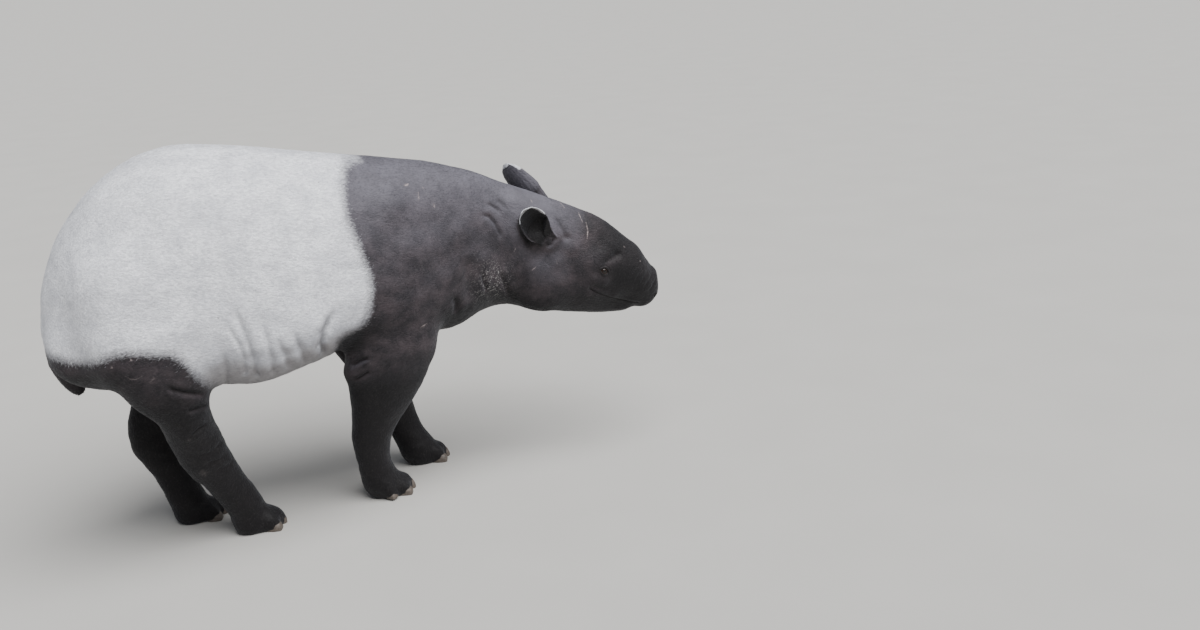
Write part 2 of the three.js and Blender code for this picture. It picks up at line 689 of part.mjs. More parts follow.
// A wedge along the lips on each side, which opens the line between them and widens to the front
const LIP_GROOVE = [1.6, 4.2];
function lipGroove(side) {
  const steps = 10;
  const path = Array.from({ length: steps + 1 }, (_, i) => {
    const at = MOUTH_CORNER.clone().lerp(MOUTH_FRONT, 0.04 + (0.96 * i) / steps);
    return turned(cast(at, vec(0, side, 0), flesh));
  });
  return tube(path, path.map((_, i) => mix(...LIP_GROOVE, i / steps)), 6);
}
const NOSTRIL = { inner: vec(1362, 17, 446), way: vec(0.9, 0.4, -0.15).normalize(), radii: [3, 7, 10, 11] };
function nostril(side) {
  const inner = mirrored(NOSTRIL.inner, side);
  const outer = cast(inner, mirrored(NOSTRIL.way, side), flesh);
  const path = [inner, inner.clone().lerp(outer, 0.5), outer, outer.clone().add(vec(6, 0, 0))];
  return tube(path.map(turned), NOSTRIL.radii, 8);
}

// Tail
const TAIL = [vec(-316, 0, 648), vec(-334, 0, 592), vec(-325, 0, 536), vec(-302, 0, 477)];
const TAIL_RADII = [42, 41, 38, 35, 32, 29, 26, 17];

// Legs: level rings from the sole up to the cut under the torso
const LEG_SIDES = 22;
const LEG_ALONE_BELOW = 300; // from here down nothing of the trunk is near
function legGeometry(leg) {
  const whole = (p) => (p.z > LEG_ALONE_BELOW ? flesh(p) : legDistance(leg, p));
  const heights = lines(0, [12, 6], [60, 16], [110, 20], [LEG_CUT_HEIGHT - GAP / 2, 32]);
  const centreAt = (z) => {
    const chain = leg.chain;
    const ankle = chain[chain.length - 1].at;
    if (z < ankle.z) return leg.sole.clone().lerp(ankle, smooth(z / ankle.z)).setZ(z);
    let i = 0;
    while (z < chain[i + 1].at.z) i++;
    const t = (z - chain[i].at.z) / (chain[i + 1].at.z - chain[i].at.z);
    return chain[i].at.clone().lerp(chain[i + 1].at, t).setZ(z);
  };
  const rings = heights.map((z) => ring(centreAt(z), vec(1, 0, 0), vec(0, 1, 0), LEG_SIDES, whole));
  return loft(rings, centreAt(0), centreAt(LEG_CUT_HEIGHT - GAP / 2));
}

// A hoof: half-round sections from its root in the toe to its blunt tip, flat underneath
function hoofGeometry(digit) {
  const sides = 9;
  const across = vec(-digit.way.y, digit.way.x, 0);
  const profile = [
    { back: HOOF.length, wide: 0.74, high: 0.8 },
    { back: HOOF.length * 0.72, wide: 0.95, high: 0.98 },
    { back: HOOF.length * 0.42, wide: 1, high: 0.92 },
    { back: HOOF.length * 0.16, wide: 0.9, high: 0.66 },
    { back: 3, wide: 0.62, high: 0.34 },
  ];
  const rings = profile.map(({ back, wide, high }) => {
    const middle = digit.tip.clone().addScaledVector(digit.way, -back * digit.share);
    const half = (HOOF.width / 2) * wide * digit.share;
    const height = HOOF.height * high * digit.share;
    return Array.from({ length: sides }, (_, j) => {
      const angle = (Math.PI * j) / (sides - 1);
      const lift = Math.sin(angle) ** 0.8 * height;
      return middle.clone().addScaledVector(across, half * Math.cos(angle)).setZ(digit.rise + lift);
    });
  });
  const centre = (r) => r[0].clone().add(r[sides - 1]).multiplyScalar(0.5).setZ(digit.rise + 4);
  return loft(rings, centre(rings[0]), centre(rings[rings.length - 1]));
}

// Materials
const blackHide = new THREE.MeshStandardMaterial({ color: 0x2c2a2c, roughness: 0.78, metalness: 0 });
const whiteHide = new THREE.MeshStandardMaterial({ color: 0xc9c8c6, roughness: 0.85, metalness: 0 });
const eyeSurface = new THREE.MeshStandardMaterial({ color: 0x1a120d, roughness: 0.12, metalness: 0 });
const hornMaterial = new THREE.MeshStandardMaterial({ color: 0x4a443d, roughness: 0.6, metalness: 0 });

const tapir = new THREE.Group();
function add(name, geometry, material) {
  const mesh = new THREE.Mesh(geometry, material);
  mesh.name = name;
  tapir.add(mesh);
}

const torso = torsoSolid();
TORSO_PIECES.forEach((name, i) => {
  let piece = torso;
  if (i > 0) piece = piece.intersect(halfSpace(vec(TORSO_CUTS[i - 1] + GAP / 2, 0, 0), vec(-1, 0, 0)));
  if (i < 2) piece = piece.intersect(halfSpace(vec(TORSO_CUTS[i] - GAP / 2, 0, 0), vec(1, 0, 0)));
  add(name, geometryOf(piece), name === "shoulders" ? blackHide : whiteHide);
});
const wholeNeck = neckGeometry();
add("neck", wholeNeck, blackHide);

const wholeHead = headGeometry();
const wholeProboscis = proboscisGeometry();
let head = solid(wholeHead);
let muzzle = solid(wholeProboscis);
for (const side of [-1, 1]) {
  for (const each of LIDS) head = head.add(solid(lid(side, each)));
  head = head.subtract(solid(eyeSphere(side, EYE_RADIUS + GAP)));
  head = head.subtract(solid(lipGroove(side)));
  muzzle = muzzle.subtract(solid(lipGroove(side))).subtract(solid(nostril(side)));
}
const jaw = head.intersect(jawRegion(-GAP / 2));
add("head", geometryOf(head.subtract(jawRegion(GAP / 2))), blackHide);
add("lower_jaw", geometryOf(jaw), blackHide);
add("proboscis", geometryOf(muzzle), blackHide);

for (const ear of EARS) {
  const cup = solid(earGeometry(ear)).subtract(solid(swollen(wholeHead)));
  add(ear.name, geometryOf(cup.subtract(solid(swollen(wholeNeck)))), blackHide);
}
add("eye_right", eyeSphere(-1, EYE_RADIUS), eyeSurface);
add("eye_left", eyeSphere(1, EYE_RADIUS), eyeSurface);

const tail = solid(tube(TAIL, TAIL_RADII, 12)).subtract(solid(swollen(geometryOf(torso))));
add("tail", geometryOf(tail), blackHide);

for (const leg of LEGS) {
  let limb = solid(legGeometry(leg));
  leg.digits.forEach((digit, i) => {
    const hoof = hoofGeometry(digit);
    limb = limb.subtract(solid(swollen(hoof)));
    add(leg.name + "_hoof_" + (i + 1), hoof, hornMaterial);
  });
  add(leg.name, geometryOf(limb), blackHide);
}

// The origin is the middle of the footprint of the whole animal's box.
const box = new THREE.Box3().setFromObject(tapir);
const middle = box.getCenter(new THREE.Vector3());
tapir.position.set(-middle.x, -middle.y, -box.min.z);

export default tapir;
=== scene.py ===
"""A malayan tapir at life size, as a still museum model: its skin, coat, eyes and hooves."""
import math

import bmesh
import bpy
import numpy as np
from mathutils import Matrix, Vector
from mathutils.bvhtree import BVHTree


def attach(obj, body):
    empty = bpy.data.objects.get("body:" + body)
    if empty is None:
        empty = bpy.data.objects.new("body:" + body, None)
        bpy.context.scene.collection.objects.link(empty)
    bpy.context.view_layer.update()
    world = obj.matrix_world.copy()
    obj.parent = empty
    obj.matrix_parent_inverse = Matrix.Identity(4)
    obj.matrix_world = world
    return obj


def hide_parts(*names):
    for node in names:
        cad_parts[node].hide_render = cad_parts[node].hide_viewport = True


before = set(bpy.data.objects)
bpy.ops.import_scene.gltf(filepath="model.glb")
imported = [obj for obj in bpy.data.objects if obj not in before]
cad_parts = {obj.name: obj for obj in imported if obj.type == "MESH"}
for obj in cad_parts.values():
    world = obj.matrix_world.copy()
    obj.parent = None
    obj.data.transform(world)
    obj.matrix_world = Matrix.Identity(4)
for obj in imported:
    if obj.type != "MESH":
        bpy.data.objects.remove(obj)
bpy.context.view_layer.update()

# The animal is laid out in millimetres with its head straight, x = 0 midway between the hind feet.
# ORIGIN moves it to the middle of its footprint, and the head then turns about HEAD_PIVOT.
MM = 0.001
ORIGIN = np.array([-0.50959, 0.0, 0.0])
HEAD_PIVOT = np.array([860.0, 0.0, 640.0])
HEAD_ANGLES = [math.radians(a) for a in (8, -1.8, -17)]  # roll, lift and turn
BEND = (800, 990)  # where the turn starts and where it is whole
LEGS = ("foreleg_right", "foreleg_left", "hind_leg_right", "hind_leg_left")
FLESH = ("hindquarters", "barrel", "shoulders", "neck", "head", "lower_jaw", "proboscis", "tail") + LEGS
EARS = ("ear_right", "ear_left")

# The photograph's view
IMAGE = (1200, 630)
FOCAL = 1167  # in pixels of the image's width
EYE_POINT = Vector(np.array([-357, -3223, 1500]) * MM + ORIGIN)
HEADING, PITCH, ROLL = (math.radians(a) for a in (26.38, 17.36, 4.0))


def smooth(t):
    """0 below 0, 1 above 1, and a smooth rise between."""
    t = np.clip(t, 0, 1)
    return t * t * (3 - 2 * t)


def rise(value, start, width):
    """0 up to the start, and 1 from the width past it."""
    return smooth((value - start) / width)


def fall(value, end, width):
    """1 up to the width before the end, and 0 past the end."""
    return smooth((end - value) / width)


def bump(distance, width):
    """A bell of height 1 and the given half width."""
    return np.exp(-((distance / width) ** 2))


# Places


def head_turns(x):
    """The head's rotation for each x of the straight animal."""
    share = smooth((x - BEND[0]) / (BEND[1] - BEND[0]))
    (sr, cr), (sl, cl), (st, ct) = ((np.sin(a * share), np.cos(a * share)) for a in HEAD_ANGLES)
    rows = [
        [ct * cl, ct * sl * sr - st * cr, ct * sl * cr + st * sr],
        [st * cl, st * sl * sr + ct * cr, st * sl * cr - ct * sr],
        [-sl, cl * sr, cl * cr],
    ]
    return np.stack([np.stack(row, -1) for row in rows], -2)


def placed(straight):
    """Points of the straight animal, in millimetres, to their place in the part, in metres."""
    straight = np.asarray(straight, float)
    turned = np.einsum("...ij,...j->...i", head_turns(straight[..., 0]), straight - HEAD_PIVOT) + HEAD_PIVOT
    return turned * MM + ORIGIN


def straightened(points):
    """The other way round, from metres in the part to millimetres on the straight animal."""
    turned = (np.asarray(points, float) - ORIGIN) / MM
    straight = turned
    for _ in range(10):
        back = np.einsum("...ji,...j->...i", head_turns(straight[..., 0]), turned - HEAD_PIVOT)
        straight = back + HEAD_PIVOT
    return straight


def make_camera():
    """The camera at the photograph's place. Also gives the ways to its right, up and ahead."""
    ahead = Vector((
        math.sin(HEADING) * math.cos(PITCH), math.cos(HEADING) * math.cos(PITCH), -math.sin(PITCH),
    ))
    level = Vector((math.cos(HEADING), -math.sin(HEADING), 0))
    above = level.cross(ahead)
    right = level * math.cos(ROLL) - above * math.sin(ROLL)
    up = level * math.sin(ROLL) + above * math.cos(ROLL)
    data = bpy.data.cameras.new("view")
    data.sensor_width = 36
    data.lens = FOCAL / IMAGE[0] * data.sensor_width
    camera = bpy.data.objects.new("view", data)
    camera.matrix_world = Matrix.Translation(EYE_POINT) @ Matrix((right, up, -ahead)).transposed().to_4x4()
    bpy.context.scene.collection.objects.link(camera)
    bpy.context.scene.camera = camera
    return right, up, ahead


RIGHT, UP, AHEAD = make_camera()


def seen(tree, pixels):
    """Where the lines of sight through pixels of the photograph meet the skin, on the straight animal."""
    hits = []
    for u, v in pixels:
        way = RIGHT * (u - IMAGE[0] / 2) / FOCAL + UP * (IMAGE[1] / 2 - v) / FOCAL + AHEAD
        hit = tree.ray_cast(EYE_POINT, way.normalized())[0]
        if hit is not None:
            hits.append(hit)
    return straightened(np.array(hits).reshape(-1, 3))


# Meshes

SAME_PLACE = 2e-5  # vertices nearer than this are one, in metres
WAVES = 20  # how many waves make a ripple


def mesh_of(name, points, faces):
    """A mesh from its points and from faces with equally many corners."""
    faces = np.asarray(faces)
    mesh = bpy.data.meshes.new(name)
    mesh.vertices.add(len(points))
    mesh.vertices.foreach_set("co", np.asarray(points, np.float32).ravel())
    mesh.loops.add(faces.size)
    mesh.loops.foreach_set("vertex_index", faces.ravel().astype(np.int32))
    mesh.polygons.add(len(faces))
    mesh.polygons.foreach_set("loop_start", np.arange(0, faces.size, faces.shape[1], dtype=np.int32))
    mesh.update(calc_edges=True)
    return mesh


def read(items, field, width, kind=np.float32):
    """One field of all of a mesh's items, as rows of that width."""
    values = np.empty(len(items) * width, kind)
    items.foreach_get(field, values)
    return values.reshape(-1, width)


def points_of(mesh):
    return read(mesh.vertices, "co", 3).astype(float)


def normals_of(mesh):
    return read(mesh.vertex_normals, "vector", 3).astype(float)


def edges_of(mesh):
    return read(mesh.edges, "vertices", 2, np.int32)


def triangles_of(mesh):
    mesh.calc_loop_triangles()
    return read(mesh.loop_triangles, "vertices", 3, np.int32)


def set_points(mesh, points):
    mesh.vertices.foreach_set("co", np.asarray(points, np.float32).ravel())
    mesh.update()


def relaxed(values, edges, rounds, share):
    """Values at the vertices after each has moved towards the mean of its neighbours, again and again."""
    a, b = edges.T
    n = len(values)
    count = np.maximum(np.bincount(a, minlength=n) + np.bincount(b, minlength=n), 1)[:, None]
    share = np.broadcast_to(share, n)[:, None]
    for _ in range(rounds):
        total = [np.bincount(a, v[b], n) + np.bincount(b, v[a], n) for v in values.T]
        values = values + share * (np.stack(total, 1) / count - values)
    return values


def evened(points, edges, rounds, share):
    """Smoothed like relaxed(), but what the smoothing takes from the broad shape is given back."""
    found = np.zeros_like(points)
    for _ in range(3):
        found += relaxed(points - found, edges, rounds, share)
    return found


def remeshed(mesh, voxel):
    """The same closed form as even quads, with overlapping bodies grown into one."""
    carrier = bpy.data.objects.new("carrier", mesh)
    bpy.context.scene.collection.objects.link(carrier)
    remesh = carrier.modifiers.new("remesh", "REMESH")
    remesh.mode = "VOXEL"
    remesh.voxel_size = voxel
    made = bpy.data.meshes.new_from_object(carrier.evaluated_get(bpy.context.evaluated_depsgraph_get()))
    bpy.data.objects.remove(carrier)
    return made


def refined(mesh, chosen, rounds):
    """Halves every edge between chosen vertices, and eases the points there."""
    work = bmesh.new()
    work.from_mesh(mesh)
    work.verts.ensure_lookup_table()
    edges = [e for e in work.edges if chosen[e.verts[0].index] and chosen[e.verts[1].index]]
    bmesh.ops.subdivide_edges(work, edges=edges, cuts=1, use_grid_fill=True)
    work.to_mesh(mesh)
    work.free()
    points = points_of(mesh)
    near = np.zeros(len(points), bool)
    near[: len(chosen)] = chosen
    near[len(chosen) :] = True
    set_points(mesh, evened(points, edges_of(mesh), rounds, 0.5 * near))


def finished(work, name):
    """A bmesh as a mesh of that name."""
    mesh = bpy.data.meshes.new(name)
    work.to_mesh(mesh)
    work.free()
    return mesh


def node_mesh(name, swell=0.0):
    """A copy of a CAD node's form with single vertices, moved outwards a little."""
    copy = bmesh.new()
    copy.from_mesh(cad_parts[name].data)
    bmesh.ops.remove_doubles(copy, verts=copy.verts, dist=SAME_PLACE)
    copy.normal_update()
    for vertex in copy.verts:
        vertex.co += vertex.normal * swell
    return finished(copy, name)


def rounded(mesh, soft=True):
    """Shades the mesh smooth, or flat."""
    mesh.polygons.foreach_set("use_smooth", np.full(len(mesh.polygons), soft))
    return mesh


def show(name, mesh, material, replaces=()):
    """Puts a visible piece in the scene, in place of the CAD nodes that it replaces."""
    piece = bpy.data.objects.new(name, mesh)
    bpy.context.scene.collection.objects.link(piece)
    mesh.materials.clear()
    mesh.materials.append(material)
    mesh.polygons.foreach_set("material_index", np.zeros(len(mesh.polygons), np.int32))
    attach(piece, "root")
    if replaces:
        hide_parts(*replaces)


def keep(mesh, name, values, kind="FLOAT"):
    """Stores one value or vector for each vertex, for the materials to read."""
    field = "vector" if kind == "FLOAT_VECTOR" else "value"
    attribute = mesh.attributes.new(name, kind, "POINT")
    attribute.data.foreach_set(field, np.asarray(values, np.float32).ravel())


def ripple(points, size, seed):
    """Smooth random heights between about -1 and 1, with lumps of the given size."""
    drawn = np.random.default_rng(seed)
    ways = drawn.normal(size=(WAVES, 3))
    ways *= (math.pi / size * drawn.uniform(0.6, 1.4, WAVES) / np.linalg.norm(ways, axis=1))[:, None]
    phases = drawn.uniform(0, 2 * math.pi, WAVES)
    return np.sin(points @ ways.T + phases).sum(1) / math.sqrt(WAVES)


# The skin's form

OVERLAP = 0.0005  # how far neighbouring bodies are grown into each other, in metres
BODY_GRAIN = 0.007  # edge length of the body's faces, in metres
EAR_GRAIN = 0.0014
EYE = np.array([1209, 86.5, 574.0])  # the left one, as are the next two
EYE_OUT = (0.3, 1, 0.16)  # the way that it looks
EYE_SLIT = (1, 0, -0.52)  # the way that its slit runs
EYE_RADIUS = 16
EYE_OPENING = (14.2, 8.6, 6.8)  # half the slit's length, and how far it opens up and down
EYE_PLUG = (2.5, 13)  # how far inwards it sits, and its radius
NOSTRIL = np.array([1366, 17, 445.0])
NOSTRIL_PLUG = (5, 9)  # how far back it sits, and its radius
TAIL = np.array([(-334, 0, 592), (-325, 0, 536), (-302, 0, 477)], float)
TAIL_REACH = 60
# Where the head and the face start along x, and the height at which the legs, the feet and the tail end,
# each with the millimetres over which it does.
HEAD_START, FACE_START = (860, 120), (1000, 150)
LEG_END, FOOT_END, TAIL_END = (430, 120), (110, 40), (600, 40)
COAT_DEPTH = {"body": 1.5, "face": 1.0, "feet": 0.6}
SOLE = 0.4  # how far the skin stays above the floor
FINER_HEAD, FINER_FEET = 900, 105  # the skin is made finer past this x, and below this height
FINER_SNOUT = (1120, 640)  # once more past this x and below this height
FINER = (34, 30)  # and once more within these of each eye and nostril


def mirrored(point, side):
    """A point or a way of the left side (1), or of the right side (-1)."""
    return np.array([point[0], point[1] * side, point[2]])


def eye_axes(side):
    """Out of the head, along the slit towards the snout, and up, at one eye."""
    out = mirrored(EYE_OUT, side)
    out /= np.linalg.norm(out)
    along = np.array(EYE_SLIT)
    along -= along @ out * out
    along /= np.linalg.norm(along)
    up = np.cross(along, out)
    return out, along, up * np.sign(up[2])


def add_ball(work, centre, radius):
    at = Matrix.Translation(Vector(placed(centre)))
    bmesh.ops.create_uvsphere(work, u_segments=24, v_segments=16, radius=radius * MM, matrix=at)


def joined_flesh():
    """All the flesh and the hooves as overlapping bodies, with the eye sockets and nostrils filled."""
    work = bmesh.new()
    for name in FLESH + tuple(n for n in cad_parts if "hoof" in n):
        work.from_mesh(node_mesh(name, OVERLAP))
    for side in (-1, 1):
        out = eye_axes(side)[0]
        add_ball(work, mirrored(EYE, side) - out * EYE_PLUG[0], EYE_PLUG[1])
        add_ball(work, mirrored(NOSTRIL, side) - np.array([NOSTRIL_PLUG[0], 0, 0]), NOSTRIL_PLUG[1])
    return finished(work, "flesh")


def skin_form():
    """The straight animal's body and head in millimetres, smooth and a coat's depth inside the solids."""
    mesh = remeshed(joined_flesh(), BODY_GRAIN)
    points = straightened(points_of(mesh))
    x, _, z = points.T
    head = rise(x, *HEAD_START)
    leg = fall(z, *LEG_END) * (1 - head)
    tail = np.zeros(len(points))
    near, away, _ = along_path(points, TAIL, TAIL_REACH)
    tail[near] = fall(away, TAIL_REACH, 12) * fall(z[near], *TAIL_END)
    share = 0.5 * (1 - 0.8 * head) * (1 - 0.55 * leg) * (1 - 0.5 * fall(z, *FOOT_END)) * (1 - 0.85 * tail)
    points = evened(points, edges_of(mesh), 60, share)
    set_points(mesh, points)
    refined(mesh, (points[:, 0] > FINER_HEAD) | (points[:, 2] < FINER_FEET), 6)
    points = points_of(mesh)
    refined(mesh, (points[:, 0] > FINER_SNOUT[0]) & (points[:, 2] < FINER_SNOUT[1]), 6)
    points = points_of(mesh)
    near = np.zeros(len(points), bool)
    for side in (-1, 1):
        for place, reach in zip((EYE, NOSTRIL), FINER):
            near |= np.linalg.norm(points - mirrored(place, side), axis=1) < reach
    refined(mesh, near, 4)
    points = points_of(mesh)
    depth = COAT_DEPTH["body"] + (COAT_DEPTH["face"] - COAT_DEPTH["body"]) * rise(points[:, 0], *FACE_START)
    depth += (COAT_DEPTH["feet"] - depth) * fall(points[:, 2], *FOOT_END)
    points -= normals_of(mesh) * depth[:, None]
    points[:, 2] = np.maximum(points[:, 2], SOLE)
    set_points(mesh, points)
    return mesh


# Ears

EAR_LENGTH = 158
EAR_HALF = 47  # half its width
EAR_REACH = 185  # everything on an ear lies within this of its root
EAR_DEPTH = 0.5  # of the coat on it
EAR_PLACES = {
    "ear_right": ((1058, -97, 703), (-0.5, -0.4, 0.77), (0.05, -0.93, 0.2)),
    "ear_left": ((1061, 88, 760), (-0.64, 0.15, 0.86), (0.62, 0.72, 0.1)),
}
EAR_FRONT = {"ear_right": 1, "ear_left": -1}  # which side of the cup, across, is towards the snout
EAR_CLOSING = {"ear_right": 14, "ear_left": 0}  # how far the front edge turns back near the root
# Where the white starts, as shares of the ear's length: all round the tip, and on its front edge.
EAR_WHITE = {"ear_right": (0.86, 0.48), "ear_left": (0.92, 0.68)}
EAR_WHITE_BEHIND = 0.74  # where it starts on the rear edge
EAR_ROOT_SINK = 14  # how far its root is sunk into the head
EAR_SEAM = 13  # how far from the corner between ear and head the skin is eased
SEAM_REACH = 90  # that corner lies within this of the ear's root


def ear_axes(name):
    """Root, the way to the tip, the way that the cup faces, and across."""
    root, axis, face = (np.array(v, float) for v in EAR_PLACES[name])
    axis /= np.linalg.norm(axis)
    face -= face @ axis * axis
    face /= np.linalg.norm(face)
    return root, axis, face, np.cross(axis, face)


def ear_cup(share):
    """Half width and half depth of the cup at a share of the ear's length."""
    t = np.clip(share, 0, 1)
    half = EAR_HALF * np.minimum(1, 0.6 + 1.1 * t) * np.sqrt(np.maximum(1 - t**4.4, 0.03))
    return half, half * (0.95 - 0.53 * t)


def ear_place(name, points):
    """For points on the straight animal: the share of the ear's length, the angle round the cup from its
    back, and that angle at the cup's edge."""
    root, axis, face, across = ear_axes(name)
    offset = points - root
    share = offset @ axis / EAR_LENGTH
    half, depth = ear_cup(share)
    angle = np.arctan2(offset @ across / half, -(offset @ face) / depth)
    return share, angle, 1.85 - 0.5 * np.clip(share, 0, 1)


def ear_form(name):
    """One ear in millimetres, with its front edge turned back and its root sunk into the head."""
    mesh = remeshed(node_mesh(name), EAR_GRAIN)
    points = straightened(points_of(mesh))
    edges = edges_of(mesh)
    points = evened(points, edges, 12, 0.5)
    share, angle, edge = ear_place(name, points)
    _, axis, _, across = ear_axes(name)
    front = EAR_FRONT[name]
    closing = rise(np.abs(angle) - edge, -1.2, 1.1) * (angle * front > 0) * bump(share - 0.2, 0.26)
    closing = relaxed(closing[:, None], edges, 30, 0.5)
    points -= across * front * EAR_CLOSING[name] * closing
    points -= axis * (EAR_ROOT_SINK * smooth(1 - share / 0.22))[:, None]
    set_points(mesh, points)
    points -= normals_of(mesh) * EAR_DEPTH
    set_points(mesh, points)
    return mesh


def tree_of(mesh, points=None):
    """For finding what is nearest on a mesh, or what a line of sight meets there."""
    points = points_of(mesh) if points is None else points
    return BVHTree.FromPolygons([Vector(p) for p in points], [tuple(p.vertices) for p in mesh.polygons])


def with_ears(body):
    """Body and ears as one surface, with the corner where they meet eased."""
    base = bpy.data.objects.new("base", body)
    bpy.context.scene.collection.objects.link(base)
    body_tree = tree_of(body)
    ears = {}
    for name in EARS:
        ears[name] = bpy.data.objects.new(name + "_form", ear_form(name))
        bpy.context.scene.collection.objects.link(ears[name])
        union = base.modifiers.new(name, "BOOLEAN")
        union.operation = "UNION"
        union.solver = "MANIFOLD"
        union.object = ears[name]
    made = bpy.data.meshes.new_from_object(base.evaluated_get(bpy.context.evaluated_depsgraph_get()))
    points = points_of(made)
    seam = np.zeros(len(points))
    for name in EARS:
        ear_tree = tree_of(ears[name].data)
        for i in np.flatnonzero(np.linalg.norm(points - ear_axes(name)[0], axis=1) < SEAM_REACH):
            p = Vector(points[i])
            away = max(body_tree.find_nearest(p)[3], ear_tree.find_nearest(p)[3])
            seam[i] = max(seam[i], 1 - away / EAR_SEAM)
    set_points(made, relaxed(points, edges_of(made), 24, 0.5 * smooth(seam)))
    for carrier in [base, *ears.values()]:
        bpy.data.objects.remove(carrier)
    return made


# Folds, lids, lips and nostrils


def along_path(points, path, reach):
    """For each point: distance to a polyline and the share of its length there, where within reach."""
    path = np.asarray(path, float)
    low, high = path.min(0) - reach, path.max(0) + reach
    near = np.flatnonzero(((points > low) & (points < high)).all(1))
    best = np.full(len(near), np.inf)
    share = np.zeros(len(near))
    lengths = np.linalg.norm(np.diff(path, axis=0), axis=1)
    starts = np.concatenate([[0], np.cumsum(lengths)])
    for a, b, length, start in zip(path[:-1], path[1:], lengths, starts):
        offset = points[near] - a
        t = np.clip(offset @ (b - a) / max(length, 1e-6) ** 2, 0, 1)
        away = np.linalg.norm(offset - t[:, None] * (b - a), axis=1)
        closer = away < best
        best[closer] = away[closer]
        share[closer] = (start + t[closer] * length) / starts[-1]
    return near, best, share


FOLD_ROLL = 0.4  # height of the soft roll beside a fold, as a share of the fold's depth
FOLD_FADE = 0.25  # share of its length over which a fold dies away


def crease(points, path, width, depth, through):
    """Inward push of a fold along a path, with a soft roll of skin on both sides, and painted shade in its
    groove.
    It dies away at its ends, or only at its start if it runs through."""
    push, dark_skin_and_painted_shade = np.zeros((2, len(points)))
    near, away, share = along_path(points, path, width * 6)
    strength = smooth((share if through else np.minimum(share, 1 - share)) / FOLD_FADE + 0.12)
    push[near] = strength * depth * (bump(away, width) - FOLD_ROLL * bump(away - 2.8 * width, 1.8 * width))
    # Painted shade in the fold's groove.
    dark_skin_and_painted_shade[near] = strength * bump(away, width * 0.9)
    return push, dark_skin_and_painted_shade


# The lids: rolls, and grooves where the height is below 0. Each lies over (1) or under (-1) the slit, with
# its height, its distance from the slit's edge, its half width and how far it runs to both sides.
LIDS = [(1, 1.5, 4.5, 4, 19), (1, -1.9, 10, 2.6, 22), (-1, 0.9, 4, 3.5, 16), (-1, -1.0, 10, 3, 18)]
LID_THICKNESS = 1.6
LID_REACH = 24  # how far from the slit the lids follow the eyeball
EYE_REACH = 44  # nothing further from the eye's middle is changed


def open_eye(points, side):
    """Presses the skin back behind the eyeball inside the slit, and lays the lids over it outside."""
    out, along, up = eye_axes(side)
    centre = mirrored(EYE, side)
    offset = points - centre
    a, u, o = offset @ along, offset @ up, offset @ out
    radius = np.linalg.norm(offset, axis=1)
    near = (radius < EYE_REACH) & (o > 0)
    half, upper, lower = EYE_OPENING
    gape = np.maximum(1 - (a / half) ** 2, -3)
    edge = np.where(u > 0, u - upper * gape, -u - lower * gape)
    edge = np.where(np.abs(a) > half, np.hypot(np.abs(a) - half, u), edge)
    inside = fall(edge, 0.6, 1.2)
    covered = np.maximum(radius, EYE_RADIUS + LID_THICKNESS + 0.5 * bump(edge - 1.4, 1.6))
    wanted = radius + (covered - radius) * fall(edge, LID_REACH, 21)
    wanted = wanted + (EYE_RADIUS - 3 - wanted) * inside
    for over, height, away, width, reach in LIDS:
        arc = np.where(u * over > 0, edge, 99)
        wanted += height * bump(arc - away, width) * fall(np.abs(a), reach, 9) * (1 - inside)
    scale = np.where(near, wanted / np.maximum(radius, 1), 1)
    # A dark ring round the slit: partly the lids' dark skin, partly painted shade of the lids.
    rim = np.where(near, np.maximum(bump(edge - 0.6, 3.2), 0.9 * bump(edge - 2, 9)), 0)
    return centre + offset * scale[:, None], rim, np.where(near, inside, 0)


NOSTRIL_WAY = (0.8, 0.5, -0.2)  # the way that the left one opens
NOSTRIL_RADIUS = 11
NOSTRIL_DEPTH = 9
NOSTRIL_RIM = (12.5, 3.5, 1.2)  # its radius, half width and height
NOSTRIL_BARE = 26  # within this of its middle the skin is bare
NOSTRIL_REACH = (34, 20)  # nothing further from its middle, or further behind it, is changed


def open_nostril(points, side):
    """Presses a pit with a rim into the snout, and says where the pit is and where the skin is bare."""
    offset = points - mirrored(NOSTRIL, side)
    way = mirrored(NOSTRIL_WAY, side)
    way /= np.linalg.norm(way)
    ahead = (np.linalg.norm(offset, axis=1) < NOSTRIL_REACH[0]) & (offset @ way > -NOSTRIL_REACH[1])
    flat = (offset - (offset @ way)[:, None] * way) / np.array([1, 1, 0.7])
    away = np.linalg.norm(flat, axis=1)
    radius, width, height = NOSTRIL_RIM
    # The pit is also painted dark: painted shade inside the nostril.
    pit = np.where(ahead, fall(away, NOSTRIL_RADIUS, 5), 0)
    rim = np.where(ahead, bump(away - radius, width), 0)
    points = points - way * (NOSTRIL_DEPTH * pit - height * rim)[:, None]
    return points, pit, np.where(ahead, fall(away, NOSTRIL_BARE, 10), 0)


MOUTH = [(1158, 532), (1176, 515), (1219, 484), (1256, 460), (1294, 440), (1320, 428)]
MOUTH_FROM = 8  # how far from the middle plane the line starts on each side
# The line, the lip over it and the lip under it: how far each goes inwards, its height and its half width.
LIPS = [(3.6, 0, 2.0), (-1.6, 8, 6), (-0.8, -8, 5)]
JAW_SET_BACK = 2.2


def mouth_line(points):
    """Height over the line of the mouth, in the side view, and where along it."""
    path = np.array([(x, 0, z) for x, z in MOUTH], float)
    flat = points * np.array([1, 0, 1])
    near, away, share = along_path(flat, path, 60)
    height = np.full(len(points), 99.0)
    where = np.full(len(points), -1.0)
    height[near] = away * np.sign(flat[near, 2] - np.interp(flat[near, 0], path[:, 0], path[:, 2]))
    where[near] = share
    return height, where


def far_side(path, shift=None):
    """The same path on the other flank, moved with the leg that it lies on."""
    other = path * np.array([1, -1, 1])
    if shift is not None:
        other[:, 0] += shift(other[:, 2])
    return other


